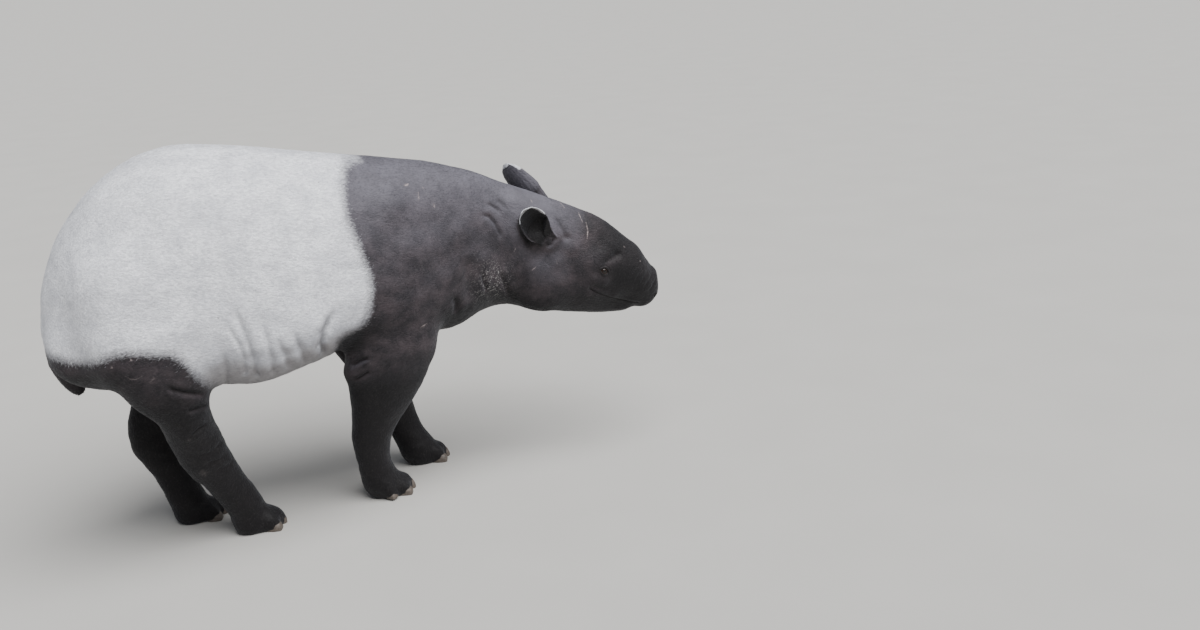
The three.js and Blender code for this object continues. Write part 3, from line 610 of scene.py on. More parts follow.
def step_forward(z):
    """How far ahead of the right foreleg the left one is at each height."""
    return 172 * smooth(1.05 - z / 520) ** 0.8


def step_back(z):
    """The same for the hind legs, where the left one is behind."""
    return -20 * fall(z, 700, 200) - 95 * fall(z, 430, 200) - 30 * smooth(1 - z / 230)


LEG_SHIFTS = {"fore": step_forward, "hind": step_back}

# Each fold: its pixels in the photograph, its half width and depth in millimetres, how much painted shade
# darkens its groove, and what it lies on: a leg, the belly, where it runs on underneath, or the rest of the
# body.
FOLDS = [
    ([(221, 350), (225, 362), (226.5, 373), (226, 382)], 8, 3.5, 0.1, "belly"),
    ([(225, 322), (233, 334), (240, 346), (244, 358), (245, 372)], 8, 4, 0.1, "belly"),
    ([(234, 306), (240, 322), (246, 338), (252, 354), (256, 374)], 9, 6, 0.2, "belly"),
    ([(262, 322), (267, 340), (271, 357), (273, 371)], 8, 4.5, 0.12, "belly"),
    ([(276, 336), (283, 351), (288, 366)], 8, 4.5, 0.12, "belly"),
    ([(293, 328), (298, 344), (304, 360)], 8, 4.5, 0.12, "belly"),
    ([(336, 309), (329, 321), (324, 333), (321.5, 345), (324, 352)], 9, 9, 0.5, "belly"),
    ([(342, 370), (352, 366), (360, 361), (370, 357.5)], 4.5, 6, 0.6, "fore"),
    ([(344, 382), (354, 380), (362, 377), (370, 371)], 4.5, 5.5, 0.6, "fore"),
    ([(166, 386), (175, 391), (185, 393), (195, 393.6), (204, 394.4), (212, 396)], 5.5, 6, 0.55, "hind"),
    ([(186, 411), (192, 410.5), (199, 408), (207, 405), (214, 402)], 5, 5.5, 0.5, "hind"),
    ([(190, 436), (199, 429), (207, 424), (218, 418.6)], 5, 5, 0.45, "hind"),
    ([(197, 456), (209, 454), (217, 448), (222, 441)], 7, 3.5, 0.1, "hind"),
    ([(206, 463), (217, 461), (225, 456), (230, 450)], 6, 3, 0.1, "hind"),
    ([(215, 470), (225, 468), (233, 462), (236, 457)], 6, 2.6, 0.1, "hind"),
    ([(336, 342), (340, 346), (343, 352)], 9, 5, 0.35, None),
    ([(481, 215), (489, 217), (495, 224), (500, 234), (500, 240)], 6, 3, 0.15, None),
    ([(486, 203.5), (494, 207.5), (502, 213)], 6, 2.5, 0.12, None),
    ([(496, 200), (503, 205), (508, 211)], 6, 2, 0.1, None),
    ([(466, 256), (469, 272), (469, 288), (470, 303)], 24, 6, 0.0, None),
    ([(482, 272), (484, 282), (487, 292)], 7, 5, 0.3, None),
    ([(500, 272), (504, 284), (510, 297)], 9, 4, 0.15, None),
    ([(453, 297), (456, 304), (455, 314)], 10, 6, 0.25, None),
    ([(554, 216), (560, 225), (564, 233), (566, 241)], 7, 3, 0.2, None),
    ([(546, 246), (551, 245), (554, 238)], 4, 4, 0.5, None),
    ([(602, 265), (608, 260.5), (615, 256), (622, 252)], 10, 4.2, 0.35, None),
    ([(588, 287), (599, 289), (610, 288)], 10, 2.5, 0.1, None),
    ([(630, 276), (634, 270), (639, 264)], 3.2, 1.1, 0.15, None),
    ([(635, 281), (639, 274), (644, 267)], 3.2, 1.3, 0.15, None),
    ([(639.5, 285), (644, 277), (648, 270)], 3.2, 1.3, 0.15, None),
    ([(644, 288), (648, 281), (652, 274)], 3.2, 1.2, 0.15, None),
    ([(649, 291), (653, 284), (656, 278)], 3.2, 1.0, 0.12, None),
]
BELLY_SAG = 18  # how far the belly hangs below the end of a fold that runs under it
FOLD_GRAIN_REACH = 3  # how many half widths from a fold the skin is made finer
WIDE_FOLD = 15  # a fold of this half width needs no finer skin

# Soft swellings and hollows: the pixel of each, its radius and its height in millimetres.
SWELLINGS = [
    ((596, 280), 15, 2.6), ((604.5, 282.5), 13, 3.2), ((594, 289), 18, -3.5), ((615, 294), 22, 3.5),
    ((617, 255), 16, -3.5), ((581, 268), 34, 3.5), ((557, 262), 26, 2.5), ((541, 254), 36, -6),
    ((567, 238), 11, -4), ((575, 250), 26, 2.5), ((592, 226), 40, 3), ((393, 203), 52, 8),
    ((408, 248), 44, 4), ((434, 228), 48, -4), ((460, 233), 36, 3), ((500, 252), 40, -3),
    ((188, 438), 26, 3.5), ((203, 470), 22, 3), ((108, 391), 17, 5), ((352, 373.5), 14, 4),
    ((648, 263), 15, 2.4), ((655, 272), 15, 1.0),
]

# Old scratches and specks: the pixels of each, its half width in millimetres, and how pale it is, or how
# dark where that is below 0.
MARKS = [
    ([(556.5, 200), (560, 202.6), (564.3, 207.8)], 1.5, 0.85),
    ([(578.5, 212.5), (580.5, 218), (582.5, 222.5)], 1.2, 0.5),
    ([(585.6, 222.5), (587.6, 231), (587, 239)], 1.3, 0.7),
    ([(532, 270.5), (536, 267)], 1.4, 0.35), ([(514, 252), (516, 248)], 1.3, 0.25),
    ([(405, 186), (408, 184)], 3.2, 0.5), ([(418.4, 192), (418.8, 200)], 1.6, 0.35),
    ([(422.5, 187), (424, 188)], 2.2, 0.3), ([(434, 203), (435, 208)], 1.8, 0.25),
    ([(421, 327), (424, 325.4), (427, 323.6)], 1.4, 0.5), ([(556, 260), (557, 264)], 1.8, 0.12),
    ([(125, 376), (130, 379), (136, 379.6), (143, 376)], 1.1, 0.2),
    ([(149, 383), (157, 376.5)], 1.1, 0.15), ([(130.6, 359.4), (131.6, 360.4)], 1.9, 0.75),
    ([(111.6, 367.6), (112.4, 368.4)], 1.5, 0.5), ([(187, 440), (191, 438)], 5.0, 0.05),
    ([(202, 470), (205, 475)], 9.0, 0.06), ([(640, 260.6), (640.4, 261.6)], 1.3, 0.9),
    ([(623.5, 246), (625, 247.5)], 2.0, 0.2), ([(531, 200), (532, 202)], 2.0, 0.4),
    ([(254.8, 289.8), (255.4, 290.4)], 1.9, -0.5), ([(217.8, 317.8), (218.6, 318.4)], 1.9, -0.7),
    ([(318, 182), (319, 182.4)], 1.9, -0.8), ([(198, 358.6), (203, 356.4)], 2.6, -0.35),
    ([(335.6, 254), (336.2, 254.4)], 1.5, -0.5),
]
MARK_SPACING = 5.0  # the skin is made finer within this of each mark
OTHER_SIDE_SHIFT = np.array([-55, 0, 24])  # the marks of the far flank lie elsewhere
OFF_MIDDLE = 60  # a mark this far from the middle plane has one on the far flank
FAR_FOLDS = (1.05, 0.9)  # how wide and how deep the far side's folds are, against the near side's


def in_line(tree, items):
    """Each item's path on the near side, with the rest of what it says."""
    found = [(seen(tree, pixels), *rest) for pixels, *rest in items]
    return [item for item in found if len(item[0])]


def folded(mesh, tree):
    """How far each point goes inwards for folds, hollows and swellings, and how much painted shade the folds
    put in their grooves.
    """
    paths = []
    for path, width, depth, painted_shade_strength, place in in_line(tree, FOLDS):
        through = place == "belly"
        if through:
            path = np.vstack([path, path[-1] * np.array([1, 0.5, 1]) - np.array([0, 0, BELLY_SAG])])
        paths.append((path, width, depth, painted_shade_strength, through))
        other = far_side(path, LEG_SHIFTS.get(place))
        paths.append((other, width * FAR_FOLDS[0], depth * FAR_FOLDS[1], painted_shade_strength, through))
    points = points_of(mesh)
    chosen = np.zeros(len(points), bool)
    for path, width, *_ in paths:
        near, away, _ = along_path(points, path, width * FOLD_GRAIN_REACH)
        chosen[near[away < width * FOLD_GRAIN_REACH]] |= width < WIDE_FOLD
    refined(mesh, chosen & (points[:, 0] < FINER_HEAD), 1)
    points = points_of(mesh)
    push, dark_skin_and_painted_shade = np.zeros((2, len(points)))
    for path, width, depth, painted_shade_strength, through in paths:
        more, darker = crease(points, path, width, depth, through)
        push += more
        dark_skin_and_painted_shade = np.maximum(dark_skin_and_painted_shade, darker * painted_shade_strength)
    for place, radius, height in in_line(tree, [([pixel], *rest) for pixel, *rest in SWELLINGS]):
        for centre in (place[0], far_side(place[0])):
            push -= height * bump(np.linalg.norm(points - centre, axis=1), radius)
    # Broad and fine lumps, less so on the head, and wrinkles across the legs.
    head = rise(points[:, 0], 900, 100)
    push += (1 - head) * 0.9 * ripple(points, 70, 5) + (1 - 0.5 * head) * 0.35 * ripple(points, 22, 6)
    push += leg_share(points) * 0.55 * ripple(points * np.array([0.4, 0.4, 1]), 15, 8)
    return push, dark_skin_and_painted_shade


def marked(mesh, tree):
    """How pale, or dark below 0, the scratches and specks make each point of the skin."""
    paths = []
    for path, width, strength in in_line(tree, MARKS):
        paths.append((path, width, strength))
        if abs(path[0, 1]) > OFF_MIDDLE:
            paths.append((far_side(path) + OTHER_SIDE_SHIFT, width, strength))
    for _ in range(2):
        points = points_of(mesh)
        chosen = np.zeros(len(points), bool)
        for path, width, _ in paths:
            near, away, _ = along_path(points, path, width + MARK_SPACING)
            chosen[near[away < width + MARK_SPACING]] = True
        refined(mesh, chosen, 1)
    points = points_of(mesh)
    found = np.zeros(len(points))
    for path, width, strength in paths:
        near, away, share = along_path(points, path, width * 2.5)
        taper = 0.45 + 0.55 * smooth(np.minimum(share, 1 - share) / 0.4)
        found[near] += strength * bump(away, width * taper)
    return found


def detailed(mesh, tree):
    """Presses the folds into the skin and opens the eyes, mouth and nostrils."""
    keep(mesh, "mark", marked(mesh, tree))
    push, dark_skin_and_painted_shade = folded(mesh, tree)
    points = points_of(mesh)
    height, where = mouth_line(points)
    parted = rise(where, -0.02, 0.08) * (where >= 0) * (np.abs(points[:, 1]) > MOUTH_FROM)
    push += parted * sum(depth * bump(height - at, width) for depth, at, width in LIPS)
    push += parted * JAW_SET_BACK * smooth(-height / 2) * rise(height, -30, 26)
    # Painted shade along the line of the mouth.
    dark_skin_and_painted_shade = np.maximum(dark_skin_and_painted_shade, parted * bump(height, 2.4))
    bare = parted * bump(height, 6)
    points = points - normals_of(mesh) * push[:, None]
    for side in (-1, 1):
        points, rim, inside = open_eye(points, side)
        points, pit, near_pit = open_nostril(points, side)
        # Painted shade in the nostril pits, and the dark ring round each eye, partly dark skin and partly
        # painted shade.
        dark_skin_and_painted_shade = np.maximum.reduce([dark_skin_and_painted_shade, rim, pit])
        bare = np.maximum.reduce([bare, bump(rim - 1, 0.5), inside, near_pit])
    points[:, 2] = np.maximum(points[:, 2], SOLE)
    set_points(mesh, points)
    keep(mesh, "dark_skin_and_painted_shade", dark_skin_and_painted_shade)
    keep(mesh, "bare", bare)


# Markings

# The border of the white saddle, as pixels of the photograph: its front from the withers down to the
# armpit, and its lower rear from the groin round the thigh to the root of the tail.
SADDLE_FRONT = [
    (354, 155.5), (346, 161), (342.5, 170), (342.4, 182), (343.2, 196), (344.4, 210), (347.6, 222),
    (352.4, 234), (358, 246), (362, 258), (366, 268), (370, 278), (371, 290), (370, 302), (368, 314),
    (362, 324), (354, 330), (346, 334), (339, 339), (337, 346), (334, 352),
]
SADDLE_REAR = [
    (210, 384), (204, 381), (197, 375), (190, 366), (183, 359), (174, 355), (162, 353.6), (150, 353.6),
    (138, 353), (126, 352.4), (114, 354.4), (106, 358), (96, 361), (82, 362.4), (70, 361.6), (60, 358),
    (50, 355), (43.5, 353.6),
]
SADDLE_UNDER = [(310, 360), (70, 360), (30, 440)]  # x and z of its edge under the belly
SADDLE_TOP = 1220  # above the back, and SADDLE_END behind the rump
SADDLE_END = -520


def saddle_outline(tree):
    """The saddle as a polygon in x and z of the straight animal."""
    front, rear = (seen(tree, pixels)[:, [0, 2]] for pixels in (SADDLE_FRONT, SADDLE_REAR))
    above = [(front[0, 0] + 12, SADDLE_TOP)]
    behind = [(SADDLE_END, rear[-1, 1] + 12), (SADDLE_END, SADDLE_TOP)]
    return np.concatenate([above, front, SADDLE_UNDER, rear, behind])


def saddle_depth(points, outline):
    """Millimetres from the border of the white saddle, more than 0 inside it."""
    p = points[:, [0, 2]]
    nearest = np.full(len(p), np.inf)
    inside = np.zeros(len(p), bool)
    for a, b in zip(outline, np.roll(outline, -1, axis=0)):
        t = np.clip((p - a) @ (b - a) / ((b - a) @ (b - a)), 0, 1)
        nearest = np.minimum(nearest, np.linalg.norm(p - a - t[:, None] * (b - a), axis=1))
        crosses = (a[1] > p[:, 1]) != (b[1] > p[:, 1])
        at = a[0] + (p[:, 1] - a[1]) * (b[0] - a[0]) / (b[1] - a[1] + 1e-9)
        inside ^= crosses & (p[:, 0] < at)
    return np.where(inside, nearest, -nearest)


def ear_marks(points, normals):
    """1 on each ear's white tip and edges, 1 inside its cup, and 1 on its back."""
    found, inner, outer = np.zeros((3, len(points)))
    for name in EARS:
        root, _, face, across = ear_axes(name)
        share, angle, edge = ear_place(name, points)
        offset = points - root
        sideways, forwards = offset @ across, offset @ face
        on = (np.linalg.norm(offset, axis=1) < EAR_REACH) & (share > 0.04) & (share < 1.1)
        on &= np.hypot(sideways, forwards) < EAR_HALF * 1.3
        share = share / share[on].max()
        tip_from, front_from = EAR_WHITE[name]
        down = np.where(angle * EAR_FRONT[name] > 0, front_from, EAR_WHITE_BEHIND)
        side = rise(np.abs(angle) - edge, -0.5, 0.1) * rise(share, down, 0.12)
        found = np.where(on, np.maximum(side, rise(share, tip_from, 0.025)), found)
        outwards = sideways[:, None] * across + forwards[:, None] * face
        length = np.maximum(np.linalg.norm(outwards, axis=1), 1)
        facing_in = smooth(-(outwards * normals).sum(1) / length / 0.3)
        half, depth = ear_cup(share)
        facing_in = np.maximum(facing_in, fall(np.hypot(sideways / half, forwards / depth), 0.93, 0.06))
        inner = np.where(on, np.maximum(inner, rise(share, 0.06, 0.1) * facing_in), inner)
        outer = np.where(on, np.maximum(outer, rise(share, 0.2, 0.1) * (1 - facing_in)), outer)
    return found, inner * (1 - found), outer * (1 - found)


LEG_TOP = (470, 130)  # the height where the legs' marks and hair start, and how softly
LEGS_UP_TO = 800  # in x


def leg_share(points):
    """1 on the legs and 0 on the rest of the body."""
    return fall(points[:, 2], *LEG_TOP) * (points[:, 0] < LEGS_UP_TO)


HAIR_GRAIN = 0.45  # one over how far the pattern is drawn out
FACE_GRAIN = (950, 0.25)  # past this x, how much is added to that along the face


def hair_grain(points):
    """Coordinates in millimetres, drawn out along the lie of the hair, and less so on the face."""
    leg = leg_share(points)[:, None]
    body = points * np.array([HAIR_GRAIN, 1, 1])
    body[:, 2] += 0.6 * HAIR_GRAIN * points[:, 0]
    body[:, 0] += np.maximum(points[:, 0] - FACE_GRAIN[0], 0) * FACE_GRAIN[1]
    down = points * np.array([1, 1, HAIR_GRAIN])
    return body * (1 - leg) + down * leg


THROAT = (494, 281)  # the pixel round which pale specks gather, and how far they reach in millimetres
THROAT_REACH = 62
THROAT_MIDDLE = 20  # there are none nearer the middle plane than this
THIGH_UP_TO = 150  # in x


def store_markings(mesh, tree):
    """Stores what the materials read: the saddle's border, the hair's lie, and how faded or dark it is, with
    painted sheen along the top and painted shade underneath, under the jaw and inside the ear cups.
    """
    points = points_of(mesh)
    normals = normals_of(mesh)
    x, y, z = points.T
    up = normals[:, 2]
    rim, inner, outer = ear_marks(points, normals)
    white = np.minimum(saddle_depth(points, saddle_outline(tree)), 200)
    white = np.where(rim > 0.5, 60 * (rim - 0.5), white)
    keep(mesh, "white", white)
    keep(mesh, "grain", hair_grain(points), "FLOAT_VECTOR")
    keep(mesh, "place", points, "FLOAT_VECTOR")
    leg = leg_share(points)
    face = rise(x + ripple(points, 55, 23) * 16, 1060, 230)
    # Lighter where the skin faces up: painted sky sheen, partly faded hair; less on the legs, face and
    # inside the ears.
    faded_hair_and_painted_sheen = rise(up, -0.25, 1.1) * (1 - leg) * (1 - inner) * (1 - 0.8 * face)
    faded_hair_and_painted_sheen = np.maximum(faded_hair_and_painted_sheen, 0.9 * outer)
    # Painted shade on the lower head and under the jaw.
    low_head = rise(x, 900, 80) * fall(z, 575, 160)
    # Painted shade where the skin faces down.
    under = rise(-up, 0.05, 0.6) * (1 - outer)
    thigh = fall(z, 600, 200) * (x < THIGH_UP_TO)
    # Darker on the legs, the face and the lower thigh, with painted shade underneath, under the jaw and,
    # over dark skin, inside the ear cups.
    darker_and_painted_shade = np.maximum.reduce([leg, under, thigh * (white < 0), 1.3 * inner, 0.95 * face, 1.2 * low_head])
    # The tone: above 0 lighter along the top with painted sheen, below 0 darker with the legs and painted
    # shade.
    keep(mesh, "tone", relaxed((faded_hair_and_painted_sheen - darker_and_painted_shade)[:, None], edges_of(mesh), 6, 0.5)[:, 0])
    away = (points - seen(tree, [THROAT])[0])[:, [0, 2]]
    throat = bump(np.linalg.norm(away, axis=1), THROAT_REACH)
    keep(mesh, "speckle", throat * (np.abs(y) > THROAT_MIDDLE))


# Materials


def colour(text):
    """An sRGB hex value as linear red, green, blue and alpha."""
    values = [int(text[i : i + 2], 16) / 255 for i in (1, 3, 5)]
    return [v / 12.92 if v <= 0.04045 else ((v + 0.055) / 1.055) ** 2.4 for v in values] + [1]


def new_material(name):
    material = bpy.data.materials.new(name)
    material.use_nodes = True
    material.node_tree.nodes.clear()
    return material, material.node_tree


def add(tree, kind, inputs=None, **settings):
    """A node of the kind, with its settings, and a value or a link for each input named."""
    node = tree.nodes.new("ShaderNode" + kind)
    for key, value in settings.items():
        setattr(node, key, value)
    for key, value in (inputs or {}).items():
        if isinstance(value, bpy.types.NodeSocket):
            tree.links.new(value, node.inputs[key])
        else:
            node.inputs[key].default_value = value
    return node


def coloured(tree, under, layers):
    """Colours laid over one another. Each layer has its colour and one or two readings that say where it
    shows: between two values each takes the layer from a first share of its strength to a second."""
    for over, *readings in layers:
        share = None
        for reading, low, high, least, most in readings:
            ends = {"Value": reading, "From Min": low, "From Max": high, "To Min": least, "To Max": most}
            part = add(tree, "MapRange", ends).outputs[0]
            if share is not None:
                part = add(tree, "Math", {0: share, 1: part}, operation="MULTIPLY").outputs[0]
            share = part
        under, over = (colour(c) if isinstance(c, str) else c for c in (under, over))
        under = add(tree, "Mix", {0: share, 6: under, 7: over}, data_type="RGBA").outputs[2]
    return under


TATTERS = 30.0  # millimetres over which the saddle's border is ragged


def short_hair_over_hide():
    """Short hair lying flat over thick hide: satiny and finely streaked, off-white on the saddle, grey-black
    elsewhere, lighter along the top with painted sky sheen and faded hair, near black on the legs, and
    darker underneath and in the folds with painted shade."""
    material, tree = new_material("short_hair_over_hide")
    grain, place = (add(tree, "Attribute", attribute_name=n).outputs["Vector"] for n in ("grain", "place"))
    white, dark_skin_and_painted_shade, tone, scratched, speckled = (
        add(tree, "Attribute", attribute_name=n).outputs["Fac"]
        for n in ("white", "dark_skin_and_painted_shade", "tone", "mark", "speckle")
    )
    # Each pattern with what it is laid along, its size in millimetres, its detail and its roughness. Locks
    # of hair are about 0.4 mm wide: they are drawn 1.6 mm wide, as coarse as shows.
    streaks, clumps, tatters, patches, dots, wrinkles = (
        add(tree, "TexNoise", dict(Vector=way, Scale=1 / size, Detail=detail, Roughness=rough)).outputs[0]
        for way, size, detail, rough in (
            (grain, 1.6, 3, 0.5), (grain, 4.8, 3, 0.5), (grain, 4.0, 3, 0.6),
            (place, 55.0, 5, 0.62), (place, 3.4, 2, 0.5), (place, 11.0, 5, 0.62),
        )
    )
    saddle = add(tree, "Math", {0: tatters, 1: TATTERS, 2: white}, operation="MULTIPLY_ADD").outputs[0]

    # A brown painted shade for the underside of the white, with a mottle.
    brown_painted_underside_shade = coloured(tree, "#4b4038", [("#6f645b", (patches, 0, 1, 0, 1))])
    pale = coloured(tree, "#cccdd3", [
        ("#fbfcff", (streaks, 0.3, 0.7, 0, 1)),
        ("#a3a3a9", (clumps, 0.42, 0.62, 0, 0.45)),
        # Painted shade: grey on the white where the body turns away from the top.
        ("#9a9ba2", (tone, 0.25, -0.4, 0, 0.62)),
        ("#aeafb6", (patches, 0.4, 0.66, 0, 0.5)),
        # Brown painted shade where the white faces down most.
        (brown_painted_underside_shade, (tone, -0.4, -1.1, 0, 0.6)),
    ])
    black = coloured(tree, "#131113", [
        ("#2f2b2f", (streaks, 0.3, 0.7, 0, 1)),
        ("#453f42", (clumps, 0.4, 0.75, 0, 0.3)),
        ("#4a4144", (patches, 0.42, 0.66, 0, 0.6)),
        # Lighter along the top: painted sky sheen, partly faded hair.
        ("#5d5b63", (tone, 0.1, 1, 0, 1), (patches, 0.3, 0.65, 0.6, 1)),
        # Near black on the legs and face, and painted shade underneath and under the jaw.
        ("#090708", (tone, 0, -0.9, 0, 0.94)),
        ("#b4b1ae", (dots, 0.58, 0.68, 0, 1), (speckled, 0, 1, 0.03, 0.8)),
    ])
    both = coloured(tree, black, [
        (pale, (saddle, -1, TATTERS + 1, 0, 1)),
        ("#c9b9b7", (scratched, 0, 1, 0, 1), (clumps, 0.35, 0.6, 0.35, 1)),
        ("#3a2722", (scratched, 0, -1, 0, 1)),
        # Near black painted shade in the folds, the mouth line and the nostril pits, and the eyes' dark
        # rims.
        ("#100c0b", (dark_skin_and_painted_shade, 0, 1, 0, 0.85)),
    ])
    gloss = {"Value": streaks, "From Min": 0.2, "From Max": 0.8, "To Min": 0.48, "To Max": 0.66}

    # The relief of single hairs, of locks, and of hide wrinkles some millimetres apart, in metres.
    relief = None
    for height, strength, distance in (
        (streaks, 0.5, 0.0008), (clumps, 0.75, 0.003), (wrinkles, 0.4, 0.003),
    ):
        inputs = {"Height": height, "Strength": strength, "Distance": distance}
        if relief is not None:
            inputs["Normal"] = relief
        relief = add(tree, "Bump", inputs).outputs[0]
    surface = add(tree, "BsdfPrincipled", {
        "Base Color": both, "Roughness": add(tree, "MapRange", gloss).outputs[0], "Normal": relief,
        "Specular IOR Level": 0.2, "Sheen Weight": 0.14, "Sheen Roughness": 0.5,
        "Sheen Tint": colour("#cdd0da"),
    })
    add(tree, "OutputMaterial", {"Surface": surface.outputs[0]})
    return material


def wet_eye():
    """The wet cornea over a dark brown iris: a mirror-like gloss over near black."""
    material, tree = new_material("wet_eye")
    away = add(tree, "Attribute", attribute_name="iris").outputs["Fac"]
    tone = coloured(tree, "#0a0706", [("#2a1a10", (away, 3.5, 8, 0, 1)), ("#3b2e27", (away, 9.5, 11, 0, 1))])
    surface = add(tree, "BsdfPrincipled", {
        "Base Color": tone, "Roughness": 0.1, "IOR": 1.376, "Coat Weight": 0.15, "Coat Roughness": 0.03,
    })
    add(tree, "OutputMaterial", {"Surface": surface.outputs[0]})
    return material


def worn_horn():
    """Hoof horn: grey-brown, dull and mottled, with fine growth lines across."""
    material, tree = new_material("worn_horn")
    growth = add(tree, "Attribute", attribute_name="growth").outputs["Fac"]
    place = add(tree, "NewGeometry").outputs["Position"]
    # Stains about 6 mm wide, and growth lines 1.6 mm apart.
    mottle = add(tree, "TexNoise", {"Vector": place, "Scale": 1 / 0.006, "Detail": 4.0}).outputs["Fac"]
    along = add(tree, "CombineXYZ", {0: growth}).outputs[0]
    lines = add(tree, "TexNoise", {"Vector": along, "Scale": 1 / 1.6, "Detail": 3.0}).outputs["Fac"]
    tone = coloured(tree, "#2a2521", [("#6a6058", (mottle, 0, 1, 0, 1))])
    relief = add(tree, "Bump", {"Height": lines, "Strength": 0.5, "Distance": 0.0008}).outputs[0]
    surface = add(tree, "BsdfPrincipled", {"Base Color": tone, "Roughness": 0.55, "Normal": relief})
    add(tree, "OutputMaterial", {"Surface": surface.outputs[0]})
    return material


def studio_floor():
    """Smooth matt floor paint, pale, with a faint mottle about 0.3 m wide."""
    material, tree = new_material("studio_floor")
    place = add(tree, "NewGeometry").outputs["Position"]
    mottle = add(tree, "TexNoise", {"Vector": place, "Scale": 3.0}).outputs["Fac"]
    tone = coloured(tree, "#a9a7a3", [("#b0aeaa", (mottle, 0, 1, 0, 1))])
    surface = add(tree, "BsdfPrincipled", {"Base Color": tone, "Roughness": 0.8})
    add(tree, "OutputMaterial", {"Surface": surface.outputs[0]})
    return material


HIDE = short_hair_over_hide()


# Coat

draw = np.random.default_rng(20)
TUFTS = 230_000
MOST_TUFTS_A_PIECE = 49_000  # of four triangles each
FIELDS = ("white", "dark_skin_and_painted_shade", "bare", "tone", "mark", "speckle")  # the skin's markings, with their painted sheen and painted shade: the coat has them too
# The coat's pieces with their slots, in the order in which they are grown.
COAT = [
    ("coat_flank", "white_coat"), ("coat_ribs", "white_coat"), ("coat_shoulder", "black_coat"),
    ("coat_hind_legs", "black_coat"), ("coat_forelegs", "black_coat"), ("coat_neck", "black_coat"),
    ("coat_head", "black_coat"), ("coat_rump", "white_coat"),
]
LEG_PIECES = (3, 4)
TUFT_FACES = np.array([[0, 1, 2], [0, 2, 3], [1, 3, 2], [0, 3, 1]])
PATCH = np.array([[0, 0], [1, 0], [0.5, 0.45], [0.5, 1]]) * 0.003  # a tuft on the unwrap's unit square
MARGIN, SPAN = 0.02, 0.95  # where a piece's unwrap starts, and its share of that square
LEG_OUT = 105  # how far out the middle line of a leg lies
TRUNK_MIDDLE = 680  # the height of the trunk's
LOWEST_TUFT = 14  # the hooves' edge is free of hair
ROOT_DEPTH = 0.06  # how far a tuft's root is sunk into the skin


def lie_of_hair(points):
    """The way that the hair points on the straight animal: back and down on the trunk, down the legs."""
    leg = leg_share(points)[:, None]
    face = rise(points[:, 0], 1000, 200)[:, None]
    trunk = np.array([-1, 0, -0.35]) * (1 - face) + np.array([-1, 0, 0.25]) * face
    way = trunk * (1 - leg) + np.array([-0.15, 0, -1]) * leg
    rump = fall(points[:, 0], -200, 120)[:, None]
    way = way * (1 - rump) + np.array([-0.2, 0, -1]) * rump
    for name in EARS:
        root, axis, _, _ = ear_axes(name)
        on = (np.linalg.norm(points - root, axis=1) < EAR_REACH) & (ear_place(name, points)[0] > 0.1)
        way = np.where(on[:, None], axis, way)
    return way


def coat_region(points):
    """Which of the coat's pieces each point belongs to: they follow each other along the animal."""
    x, _, z = points.T
    low = z < LEG_TOP[0]
    stretches = [x > 1000, x > 745, low & (x > 330), low, x > 440, x > 200, x > -40]
    return np.select(stretches, [6, 5, 4, 3, 2, 1, 0], 7)


def place_tufts(mesh, count):
    """Roots all over the skin, each with its normal and the skin's markings. They stand closer on the head
    and the legs, where the tufts are smaller."""
    points = points_of(mesh)
    triangles = triangles_of(mesh)
    a, b, c = (points[triangles[:, i]] for i in range(3))
    area = np.linalg.norm(np.cross(b - a, c - a), axis=1)
    middle = (a + b + c) / 3
    chance = area * (1 + rise(middle[:, 0], 900, 150) + 0.6 * leg_share(middle))
    which = draw.choice(len(triangles), count, p=chance / chance.sum())
    s, t = draw.uniform(size=(2, count))
    over = s + t > 1
    s[over], t[over] = 1 - s[over], 1 - t[over]
    weights = np.stack([1 - s - t, s, t], 1)
    corners = triangles[which]

    def at_roots(values):
        return np.einsum("ni,ni...->n...", weights, values[corners])

    normal = at_roots(normals_of(mesh))
    normal /= np.linalg.norm(normal, axis=1)[:, None]
    fields = {n: at_roots(read(mesh.attributes[n].data, "value", 1)[:, 0].astype(float)) for n in FIELDS}
    return at_roots(points), normal, fields


def unwrap_place(region, roots):
    """Each root's place on a plain unwrap of its piece: along and round the trunk, or round and up a leg."""
    x, y, z = roots.T
    place = np.empty((len(roots), 2))
    for piece in range(len(COAT)):
        on = region == piece
        if piece in LEG_PIECES:
            for left in (0, 1):
                leg = on & ((y > 0) == left)
                turn = np.arctan2(np.abs(y[leg]) - LEG_OUT, x[leg] - np.median(x[leg]))
                place[leg, 0] = MARGIN + 0.46 * (turn / (2 * math.pi) + 0.5) + 0.5 * left
                place[leg, 1] = MARGIN + SPAN * np.clip(z[leg] / LEG_TOP[0], 0, 1)
        else:
            low, high = x[on].min(), x[on].max()
            place[on, 0] = MARGIN + SPAN * (x[on] - low) / max(high - low, 1)
            place[on, 1] = MARGIN + SPAN * (np.arctan2(y[on], z[on] - TRUNK_MIDDLE) / (2 * math.pi) + 0.5)
    return place


